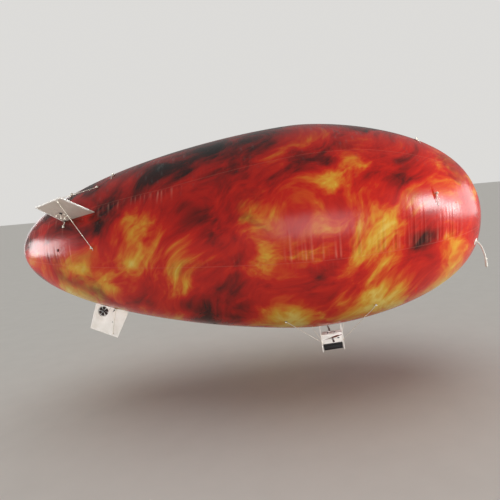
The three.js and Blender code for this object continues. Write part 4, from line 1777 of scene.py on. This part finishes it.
def make_plate(name, end):
    """H-shaped end plate: horns with turned-out feet up to the belly and legs down."""
    half, web, reach = GONDOLA.half, GONDOLA.web, GONDOLA.reach
    horn, leg = GONDOLA.horn, GONDOLA.leg
    plate = cube("plate_" + name, (GONDOLA.plate, 2 * half, 2 * web), (end * GONDOLA.plate_at, 0, 0))
    edit(plate)
    for side in (-1, 1):
        slice_at((0, side * horn, 0), (0, 1, 0))
        slice_at((0, side * leg, 0), (0, 1, 0))
    toe, toe_rise = PLATE.toe
    for side in (-1, 1):
        pick_faces(plate, lambda m, n: n.z > 0.9 and m.y * side > horn)
        extrude((0, 0, PLATE.horn_rise))
        extrude((0, 0, PLATE.foot_rise))
        pick_faces(plate, lambda m, n: n.x * end > 0.9 and m.y * side > horn and m.z > PLATE.toe_above)
        extrude((end * toe, 0, toe_rise))
        pick_faces(plate, lambda m, n: n.z < -0.9 and m.y * side > leg and m.z < 0)
        extrude((0, 0, web - reach))

    def meets_web(middle, direction):
        """Whether an edge runs through the board where a horn or a leg meets the web."""
        inner = leg if middle.z < 0 else horn
        at_web = abs(abs(middle.z) - web) < 0.001 and abs(abs(middle.y) - inner) < 0.0001
        return abs(direction.x) > 0.9 and at_web

    pick_edges(plate, meets_web)
    bevel_picked(*PLATE.web_corner)
    bpy.ops.mesh.select_all(action="DESELECT")
    pick_edges(plate, lambda m, d: abs(d.x) > 0.9 and m.z < -reach + 0.001)
    bevel_picked(*PLATE.leg_corner)
    end_edit()
    raise_to_film(plate)
    face_out(plate)
    round_edges(plate, PLATE.edge, angle=40)
    finished(plate, gondola_frame(), "white_board", replaces=["gondola_plate_" + name])


# Turned rings outside the box's sides: columns are radius, length, distance from the side and bore
BUSHING = (0.012, 0.009, 0.0035, 0.0046)
FLANGE = (0.017, 0.0018, 0.0011, 0.0115)
COLLAR = (0.0080, 0.006, 0.0145, 0.0041)
ACROSS = (math.pi / 2, 0, 0)


def shaft_ring(name, side, ring, sides):
    """A ring round the cross shaft on one side of the box."""
    radius, length, away, bore = ring
    centre = (0, side * (GONDOLA.box[1] / 2 + away), GONDOLA.shaft)
    made = cylinder(name, radius, length, centre, sides, ACROSS)
    subtract(made, cylinder("cutter", bore, CUT, centre, 32, ACROSS))
    return made


def make_box():
    """Open foam board tray with the two bushings of the cross shaft."""
    tray = cube("box_tray", GONDOLA.box)
    edit(tray)
    pick_faces(tray, lambda m, n: n.z > 0.9)
    bpy.ops.mesh.delete(type="FACE")
    end_edit()
    thickened(tray, GONDOLA.wall, -1)
    round_edges(tray, 0.0010)
    finished(tray, gondola_frame(), "white_board", replaces=["gondola_box"])
    rings = []
    for side in (-1, 1):
        rings.append(shaft_ring("bushing", side, BUSHING, 48))
        rings.append(shaft_ring("flange", side, FLANGE, 48))
    both = joined("shaft_bushings", rings)
    round_edges(both, 0.0006)
    finished(both, gondola_frame(), "white_plastic")


LID = Table(gap=0.0004, thickness=0.005, edge=0.0012)

# Knobs on the lid: places ahead, place across, ribs, how deep each rib's groove is as a share of the
# radius, and the cap by radius and height
KNOB = Table(
    edge=0.0006,
    ahead=(-0.046, 0.044),
    across=-0.030,
    radius=0.008,
    height=0.0125,
    level=0.0112,
    ribs=48,
    groove=0.05,
    cap=(0.0045, 0.002),
    cap_level=0.0182,
)


def lid_knob(x, top):
    """A ribbed knob with a round cap."""
    y, ribs = KNOB.across, KNOB.ribs
    knob = cylinder("knob", KNOB.radius, KNOB.height, (x, y, top + KNOB.level), ribs)
    rows = corners(knob)
    around = np.arctan2(rows[:, 1] - y, rows[:, 0] - x)
    grip = 1 - KNOB.groove * (np.rint(around / (2 * np.pi) * ribs).astype(int) % 2)
    rows[:, 0] = x + (rows[:, 0] - x) * grip
    rows[:, 1] = y + (rows[:, 1] - y) * grip
    set_corners(knob, rows)
    round_edges(knob, KNOB.edge, angle=60)
    cap = rounded_hub("cap", *KNOB.cap, (x, y, top + KNOB.cap_level), 24)
    return [knob, cap]


def make_lid():
    length, width, height = GONDOLA.box
    top = height / 2 + LID.gap
    lid = cube("box_lid", (length, width, LID.thickness), (0, 0, top + LID.thickness / 2))
    round_edges(lid, LID.edge)
    finished(lid, gondola_frame(), "white_board", replaces=["gondola_lid"])
    knobs = [part for x in KNOB.ahead for part in lid_knob(x, top)]
    finished(joined("lid_knobs", knobs), gondola_frame(), "black_plastic", angle=CRISP_ANGLE)


# Pod: its gap to the box, its corners by radius and segments, and its parting line
POD = Table(gap=0.0004, corner=(0.011, 5), parting=0.4, groove=0.0007, depth=0.0010, edge=0.0007)


def make_pod():
    """Black pod under the box, with a parting line all round."""
    length, width, height = GONDOLA.pod
    top = -GONDOLA.box[2] / 2 - POD.gap
    pod = cube("pod", (length, width, height), (0, 0, top - height / 2))
    edit(pod)
    pick_edges(pod, lambda m, d: m.z < top - height + 0.001)
    bevel_picked(*POD.corner)
    parting = top - height * POD.parting
    slice_at((0, 0, parting - POD.groove), (0, 0, 1))
    slice_at((0, 0, parting + POD.groove), (0, 0, 1))
    pick_faces(pod, lambda m, n: abs(m.z - parting) < POD.groove and abs(n.z) < 0.1)
    bpy.ops.mesh.extrude_region_shrink_fatten(TRANSFORM_OT_shrink_fatten={"value": -POD.depth})
    end_edit()
    face_out(pod)
    round_edges(pod, POD.edge, angle=50)
    finished(pod, gondola_frame(), "black_plastic", replaces=["battery_pod"])


# A screw's head, as shares of its radius, and the angle its crossed recess is turned by
SCREW = Table(height=0.9, middle=0.25, edge=0.3, slot=(1.2, 0.28, 1.0), turn=20)

# Screws of the end plates and of the box's sides: radius, and places along the face and up
PLATE_SCREWS = Table(radius=0.0036, along=0.048, up=0.045)
SIDE_SCREWS = Table(radius=0.0032, along=0.118, up=0.045)


def screw(radius, centre, turn):
    """A pan-head screw along Z with a crossed recess, placed and turned."""
    head = cylinder("screw", radius, radius * SCREW.height, (0, 0, radius * SCREW.middle), 24)
    round_edges(head, radius * SCREW.edge, 3)
    for angle in (0, 90):
        tool = cube("cutter", [radius * share for share in SCREW.slot], (0, 0, radius * SCREW.height))
        placed(tool, Matrix.Rotation(math.radians(angle + SCREW.turn), 4, "Z"))
        subtract(head, tool)
    return placed(head, Matrix.Translation(centre) @ turn)


def make_screws():
    """Screws of the end plates and of the box's sides."""
    end_face = GONDOLA.plate_at + GONDOLA.plate / 2
    side_face = GONDOLA.box[1] / 2
    quarters = [(along, up) for along in (-1, 1) for up in (-1, 1)]
    screws = []
    for end in (-1, 1):
        turn = Matrix.Rotation(end * math.pi / 2, 4, "Y")
        for along, up in quarters:
            centre = (end * end_face, along * PLATE_SCREWS.along, up * PLATE_SCREWS.up)
            screws.append(screw(PLATE_SCREWS.radius, centre, turn))
    for side in (-1, 1):
        turn = Matrix.Rotation(-side * math.pi / 2, 4, "X")
        for along, up in quarters:
            centre = (along * SIDE_SCREWS.along, side * side_face, up * SIDE_SCREWS.up)
            screws.append(screw(SIDE_SCREWS.radius, centre, turn))
    finished(joined("box_screws", screws), gondola_frame(), "motor_metal", angle=CRISP_ANGLE)


# Slide switch in the box's right side: columns are size, place and rounding of its parts
SWITCH = [
    ((0.026, 0.0022, 0.013), (0.078, -0.0610, 0.0), 0.0008),
    ((0.014, 0.0042, 0.008), (0.078, -0.0620, 0.0), 0.0006),
    ((0.004, 0.0085, 0.005), (0.0748, -0.0652, 0.0), 0.0007),
]


def make_switch():
    parts = []
    for size, place, edge in SWITCH:
        part = cube("switch", size, place)
        round_edges(part, edge)
        parts.append(part)
    finished(joined("power_switch", parts), gondola_frame(), "black_plastic")


# Cross shaft: how far both ends together run past the motors, its wall and the depth of its bore
SHAFT = Table(radius=0.004, past=0.030, wall=0.0011, bore=0.012, set_screw=0.0016)


def make_shaft():
    """Carbon tube from motor to motor, with a collar outside each bushing."""
    length = 2 * GONDOLA.motor_span + SHAFT.past
    shaft = cylinder("carbon_shaft", SHAFT.radius, length, (0, 0, GONDOLA.shaft), 32, ACROSS)
    edit(shaft)
    pick_faces(shaft, lambda m, n: abs(n.y) > 0.9)
    bpy.ops.mesh.inset(thickness=SHAFT.wall, use_individual=True)
    for end in (-1, 1):
        pick_faces(shaft, lambda m, n: n.y * end > 0.9 and math.hypot(m.x, m.z - GONDOLA.shaft) < 0.0005)
        extrude((0, -end * SHAFT.bore, 0))
    end_edit()
    smooth(shaft)
    placed(shaft, gondola_frame())
    dress(shaft, "carbon_tube", "thrust_unit", replaces=["cross_shaft"])
    collars = []
    for side in (-1, 1):
        collar = shaft_ring("collar", side, COLLAR, 32)
        round_edges(collar, 0.0005)
        centre = (0, side * (GONDOLA.box[1] / 2 + COLLAR[2]), GONDOLA.shaft + COLLAR[0])
        collars += [collar, screw(SHAFT.set_screw, centre, Matrix())]
    finished(joined("shaft_collars", collars), gondola_frame(), "dark_metal", "thrust_unit")


def thrust_frame(side):
    """Axes of a motor on the shaft's end: Z along the spindle."""
    lean = Matrix.Rotation(math.radians(GONDOLA.lean), 4, "Y")
    return gondola_frame() @ Matrix.Translation((0, side * GONDOLA.motor_span, GONDOLA.shaft)) @ lean


# Motor clamp: the bore for the shaft, the slit by size and place, and its two screws
CLAMP = Table(
    size=(0.024, 0.020, 0.024),
    bore=0.00405,
    slit=(0.020, 0.03, 0.0014),
    slit_at=(0.012, 0, 0),
    edge=0.0009,
    screw=0.0022,
    screws=[(0.0082, -0.0055, -0.0120), (0.0082, 0.0055, -0.0120)],
)


def make_clamp(name, side):
    """Split block that grips the shaft's end under the motor."""
    clamp = cube("clamp_" + name, CLAMP.size)
    subtract(clamp, cylinder("cutter", CLAMP.bore, CUT, (0, 0, 0), 32, ACROSS))
    subtract(clamp, cube("cutter", CLAMP.slit, CLAMP.slit_at))
    round_edges(clamp, CLAMP.edge)
    finished(clamp, thrust_frame(side), "black_plastic", "thrust_unit")
    flipped = Matrix.Rotation(math.pi, 4, "X")
    screws = joined("clamp_screws_" + name, [screw(CLAMP.screw, at, flipped) for at in CLAMP.screws])
    finished(screws, thrust_frame(side), "motor_metal", "thrust_unit", CRISP_ANGLE)


# Propeller: the hub by radius and height, the nut and the washer by radius, height and level
PROPELLER = Table(
    root=0.002,
    tip=0.1245,
    level=0.048,
    hub=(0.009, 0.0098),
    nut=(0.0044, 0.0035, 0.0553),
    washer=(0.0058, 0.0008, 0.0532),
    pitch=(36, 20),
    chord=(0.015, 0.012, 0.006),
    thickness=(0.0042, 0.0016),
)


def propeller_chord(share):
    """Chord of a propeller's blade, which is widest a little inside the middle of its span."""
    least, bulge, taper = PROPELLER.chord
    return least + bulge * np.sin(np.pi * np.clip(share * 1.15, 0, 1)) ** 0.8 - taper * share**4


def turned_part(name, size, sides):
    radius, height, level = size
    return cylinder(name, radius, height, (0, 0, level), sides)


def make_propeller(name, side, stopped_at):
    """Two-blade moulded propeller with a domed hub, a washer and a nut."""
    pitch, washout = PROPELLER.pitch
    root, tip = PROPELLER.thickness
    one = blade(
        "blade",
        PROPELLER.root,
        PROPELLER.tip,
        propeller_chord,
        lambda s: root * (1 - s) ** 1.5 + tip,
        lambda s: pitch - washout * s,
        sides=24,
        rings=40,
    )
    blades = turned_copies(one, name + "_blades", 2)
    propeller = joined(name + "_blades", [blades, rounded_hub("hub", *PROPELLER.hub, (0, 0, 0))])
    level = Matrix.Translation((0, 0, PROPELLER.level))
    placed(propeller, thrust_frame(side) @ level @ Matrix.Rotation(math.radians(stopped_at), 4, "Z"))
    body = name + "_propeller"
    dress(propeller, "brown_blade", body, replaces=[name + "_propeller"])
    nut = turned_part("nut", PROPELLER.nut, 6)
    washer = turned_part("washer", PROPELLER.washer, 32)
    both = joined(name + "_prop_nut", [nut, washer])
    round_edges(both, 0.0004)
    finished(both, thrust_frame(side), "dark_metal", body, CRISP_ANGLE)


# Route of a motor's leads, in the motor's axes: columns are share of the gap between the leads, out
# and up
THRUST_LEAD = [
    (1.0, 0.0100, 0.0125),
    (1.4, 0.0155, 0.0128),
    (1.6, 0.0205, 0.0080),
    (1.0, 0.0205, 0.0025),
    (0.5, 0.0165, 0.0004),
    (0.4, 0.0060, 0.0002),
]
THRUST_LEADS = Table(gap=0.0024, radius=0.0010)


def make_thrust_leads(name, side):
    """Three leads from the motor's base round the clamp and into the hollow shaft."""
    matrix = thrust_frame(side)
    for number, finish in enumerate(("red_lead", "black_lead", "black_lead")):
        swing = (number - 1) * THRUST_LEADS.gap
        spots = [matrix @ Vector((swing * share, side * out, up)) for share, out, up in THRUST_LEAD]
        lead(f"{name}_lead_{number + 1}", spots, finish, "thrust_unit", THRUST_LEADS.radius)


# Film strips under the plates' feet: how far beyond a plate, size, and how its corners are drawn in
BELLY_PAD = Table(
    rows=(8, 16),
    beyond=0.012,
    length=0.056,
    width=0.158,
    corner_from=0.75,
    corner=(0.08, 0.25),
    lift=0.0003,
    thickness=0.0010,
)


def make_gondola_pad(name, end):
    """Film strip with round corners across the belly that a plate's feet are welded to."""
    station = GONDOLA.station + end * (GONDOLA.plate_at + BELLY_PAD.beyond)
    strip = sheet_grid("belly_pad_" + name, *BELLY_PAD.rows)
    x, y, _ = corners(strip).T
    corner = np.clip(np.abs(x) * np.abs(y) - BELLY_PAD.corner_from, 0, None)
    ahead, across = BELLY_PAD.corner
    flat_x = x * BELLY_PAD.length / 2 * (1 - ahead * corner)
    flat_y = y * BELLY_PAD.width / 2 * (1 - across * corner)
    flat = np.stack([flat_x, flat_y, 0 * x], axis=-1)
    pad = film_patch(strip, flat, station, -90, BELLY_PAD.lift, BELLY_PAD.thickness)
    dress(pad, "patch_film", replaces=["gondola_pad_" + name])


# Sides of the thrust unit: columns are name, side, and the angle the propeller has stopped at
THRUST_SIDES = [("left", 1, 90), ("right", -1, 0)]


def make_gondola():
    for name, end in (("front", 1), ("rear", -1)):
        make_plate(name, end)
        make_gondola_pad(name, end)
    make_box()
    make_lid()
    make_pod()
    make_screws()
    make_switch()
    make_shaft()
    for name, side, stopped_at in THRUST_SIDES:
        motor = name + "_motor"
        make_clamp(name, side)
        make_motor(motor, motor, thrust_frame(side), THRUST_MOTOR, "thrust_unit")
        make_propeller(name, side, stopped_at)
        make_thrust_leads(name, side)


# Guy ropes: columns are name, end of the gondola, side, patch station, patch clock angle
GUYS = [
    ("front_right", 1, -1, 1.363, -46),
    ("front_left", 1, 1, 1.363, -134),
    ("rear_right", -1, -1, 0.370, -52),
    ("rear_left", -1, 1, 0.370, -128),
]


# Guy ropes: the knots at the foot and at the patch by size and radius, the foot's place beyond the
# plate's edge and down, the rope's gap to the film, and the loose end's route
GUY = Table(
    beyond=0.006,
    down=-0.030,
    gap=0.0048,
    steps=40,
    foot_knot=0.0095,
    top_knot=(0.015, 0.0045),
    loose=[(0, 0, 0), (0.002, 0.004, -0.012), (0.004, 0.004, -0.030)],
)


def over_film(start, end):
    """A line from start to end, pushed out wherever it would run through the film."""
    line = []
    for share in np.linspace(0, 1, GUY.steps + 1):
        point = Vector(start).lerp(Vector(end), share)
        clock = math.degrees(math.atan2(point.z, -point.y))
        least = float(skin_radius(point.x) - gore_dip(point.x, clock)) + GUY.gap
        out = math.hypot(point.y, point.z)
        if out < least:
            point.y *= least / out
            point.z *= least / out
        line.append(tuple(point))
    return line


def make_guy(name, end, side, station, clock):
    """Rope from a plate of the gondola, over the film, to a patch."""
    foot_place = (end * GONDOLA.plate_at, side * (GONDOLA.half + GUY.beyond), GUY.down)
    foot = gondola_frame() @ Vector(foot_place)
    anchor = Vector(on_skin(station, clock, TIED.cord))
    hanging = [foot + Vector((x * end, side * y, z)) for x, y, z in GUY.loose]
    pieces = [
        rope("guy", over_film(foot, anchor)),
        knot("knot", foot, GUY.foot_knot),
        knot("knot", anchor, *GUY.top_knot),
        cord("loose", hanging, LOOSE, FINE_STEP),
    ]
    guy = joined("guy_" + name, pieces)
    dress(guy, "cord", replaces=["gondola_guy_" + name])
    tied_patch("guy_patch_" + name, station, clock)


# Suspension patches, each with a loop: columns are name, station, clock angle
SUSPENSION = [
    ("front_side_right", 2.037, 18),
    ("front_side_left", 2.037, 162),
    ("front_top_right", 2.060, 72),
    ("front_top_left", 2.060, 108),
    ("rear_top_right", -1.500, 70),
    ("rear_top_left", -1.500, 110),
    ("tail_top_right", -2.040, 70),
    ("tail_top_left", -2.040, 110),
]

# A loop's half width, its ends' level and its rise, and the knot at its top by level and size
LOOP = Table(half=0.016, foot=0.001, rise=0.0215, steps=9, knot_at=0.019, knot=0.010)

# Loose cord ends under each loop: columns are length along the film and swing towards the tail.
# They lie closer to the film the farther they hang.
LOOSE_ENDS = [(0.135, 0.010), (0.100, -0.012), (0.060, 0.024)]
LOOSE_END = Table(radius=0.0022, shares=(0.15, 0.4, 0.7, 1.0), lift=0.0045, start_lift=0.010)


def make_suspension(name, station, clock):
    """Loop of cord on a round patch, with a knot and loose ends that hang on the film."""
    frame_here = skin_frame(station, clock)
    top = frame_here @ Vector((0, 0, LOOP.knot_at))
    arch = []
    for turn in np.linspace(0, math.pi, LOOP.steps):
        height = LOOP.foot + LOOP.rise * math.sin(turn)
        arch.append(frame_here @ Vector((-LOOP.half * math.cos(turn), 0.0, height)))
    pieces = [cord("loop", arch, LOOSE), knot("knot", top, LOOP.knot)]
    down = -1 if clock < 90 else 1
    radius = float(skin_radius(station))
    for length, swing in LOOSE_ENDS:
        line = [top]
        for share in LOOSE_END.shares:
            spin = clock + down * math.degrees(length * share / radius)
            lift = LOOSE_END.lift + LOOSE_END.start_lift * (1 - share)
            line.append(Vector(on_skin(station + swing * share, spin, lift)))
        pieces.append(cord("end", line, LOOSE_END.radius))
    loop = joined("suspension_loop_" + name, pieces)
    dress(loop, "cord", replaces=["suspension_patch_" + name])
    tied = film_disc("suspension_film_" + name, station, clock, TIED.patch)
    dress(tied, "patch_film")


def make_envelope_pieces():
    make_seam_tapes()
    make_pole_cap("nose_cap", NOSE, "nose_patch")
    make_pole_cap("tail_cap", TAIL, "tail_patch")
    make_sleeve()
    make_sleeve_tie()


# Small round patches on the sides near the tail: columns are name, station, clock angle
SIDE_PATCHES = [("right", -2.099, 3), ("left", -2.099, 177)]
SIDE_PATCH = 0.018


def make_fins():
    for name, clock in FINS:
        make_fin(name, clock)
        make_edge_tape(name, clock)
        make_fin_pad(name, clock)
        make_stay(name, clock, -1, "a")
        make_stay(name, clock, 1, "b")
    make_grommets()
    for name, side in (("right", -1), ("left", 1)):
        make_lacing(name, dict(FINS)[name], side)
    for name, station, clock in SIDE_PATCHES:
        tied_patch("tail_side_patch_" + name, station, clock, SIDE_PATCH)
    make_root_cable()


make_envelope_pieces()
make_fins()
make_rotor()
make_gondola()
for row in GUYS:
    make_guy(*row)
for row in SUSPENSION:
    make_suspension(*row)


# Stage: a pale floor and sky, as studio lighting needs
FLOOR = Table(level=-2.0, size=300)
PALE = (0.80, 0.79, 0.77, 1.0)
SKY = Table(seen=0.9, light=0.38)


def make_floor():
    bpy.ops.object.select_all(action="DESELECT")
    bpy.ops.mesh.primitive_plane_add(size=FLOOR.size, location=(0, 0, FLOOR.level))
    floor = added("floor")
    finish = Finish("floor_paint")
    speck = finish.noise(finish.place(), 3.0, 4.0)
    colour = finish.mix(speck, ink("d6d3cd"), ink("dedbd5"))
    floor.data.materials.append(finish.surface(base_color=colour, roughness=0.7))
    return floor


def set_world():
    """A pale sky that looks brighter to the camera than the light it gives."""
    world = bpy.data.worlds.new("studio")
    world.use_nodes = True
    nodes, links = world.node_tree.nodes, world.node_tree.links
    background = nodes["Background"]
    background.inputs["Color"].default_value = PALE
    ray = nodes.new("ShaderNodeLightPath")
    strength = nodes.new("ShaderNodeMapRange")
    strength.inputs["To Min"].default_value = SKY.light
    strength.inputs["To Max"].default_value = SKY.seen
    links.new(ray.outputs["Is Camera Ray"], strength.inputs["Value"])
    links.new(strength.outputs["Result"], background.inputs["Strength"])
    bpy.context.scene.world = world


# Soft lights that each show as a highlight on the film: columns are name, station, clock,
# distance, width, height, power
LIGHTS = [
    ("key_softbox", 1.95, 12, 5.0, 1.5, 1.2, 120),
    ("nose_softbox", 2.22, 8, 6.0, 1.2, 1.1, 70),
    ("broad_panel", 2.38, 12, 9.0, 9.0, 4.0, 420),
    ("tail_softbox", -2.36, 6, 4.0, 2.7, 1.6, 105),
    ("rim_panel", -2.45, 68, 6.0, 3.6, 2.4, 60),
    ("front_panel", 0.75, 4, 9.0, 7.0, 4.0, 200),
]

# Even lights, each on its own pieces: softness is the light's angle in degrees
FLOOR_LIGHT = Table(towards=(0, 0, 1), softness=60, power=0.95)
WHITE_LIGHT = Table(towards=(-0.3, -1.0, 0.25), softness=40, power=0.9)
WHITES = ("white_board", "foam_board", "white_plastic", "edge_tape", "cord", "sleeve_film")


def lit_group(name, pieces, state="INCLUDE"):
    """A list that keeps a light on some pieces alone, or off them."""
    group = bpy.data.collections.new(name)
    for piece in pieces:
        group.objects.link(piece)
    for member in group.collection_objects:
        member.light_linking.link_state = state
    return group


def add_light(name, data, power, matrix, group):
    """Puts a light in its place, and keeps it to its group of pieces."""
    data.energy = power
    light = bpy.data.objects.new(name, data)
    light.matrix_world = matrix
    light.light_linking.receiver_collection = group
    bpy.context.scene.collection.objects.link(light)


def make_even_light(name, light, pieces):
    """Soft light without a place, which falls on some pieces alone."""
    data = bpy.data.lights.new(name, "SUN")
    data.angle = math.radians(light.softness)
    turn = Vector(light.towards).to_track_quat("Z", "Y").to_matrix().to_4x4()
    add_light(name, data, light.power, turn, lit_group(name + "_alone", pieces))


def white_pieces():
    """The pieces that stand out against the pale floor only with a light of their own."""
    pieces = [piece for piece in bpy.data.objects if piece.type == "MESH" and piece.active_material]
    return [piece for piece in pieces if piece.active_material.name in WHITES]


def make_lights(floor):
    """Panels that light all but the floor, each placed where its reflection shows on the film."""
    eye = Vector(CAMERA.place)
    blimp_alone = lit_group("blimp_alone", [floor], "EXCLUDE")
    for name, station, clock, distance, width, height, power in LIGHTS:
        point = Vector(on_skin(station, clock))
        normal = skin_normal(station, clock)
        view = (point - eye).normalized()
        back = (view - 2 * view.dot(normal) * normal).normalized()
        data = bpy.data.lights.new(name, "AREA")
        data.shape = "RECTANGLE"
        data.size = width
        data.size_y = height
        turn = back.to_track_quat("Z", "Y").to_matrix().to_4x4()
        add_light(name, data, power, Matrix.Translation(point + back * distance) @ turn, blimp_alone)


floor = make_floor()
set_world()
make_even_light("floor_light", FLOOR_LIGHT, [floor])
make_even_light("white_light", WHITE_LIGHT, white_pieces())
make_lights(floor)
bpy.context.scene.view_settings.view_transform = "Standard"
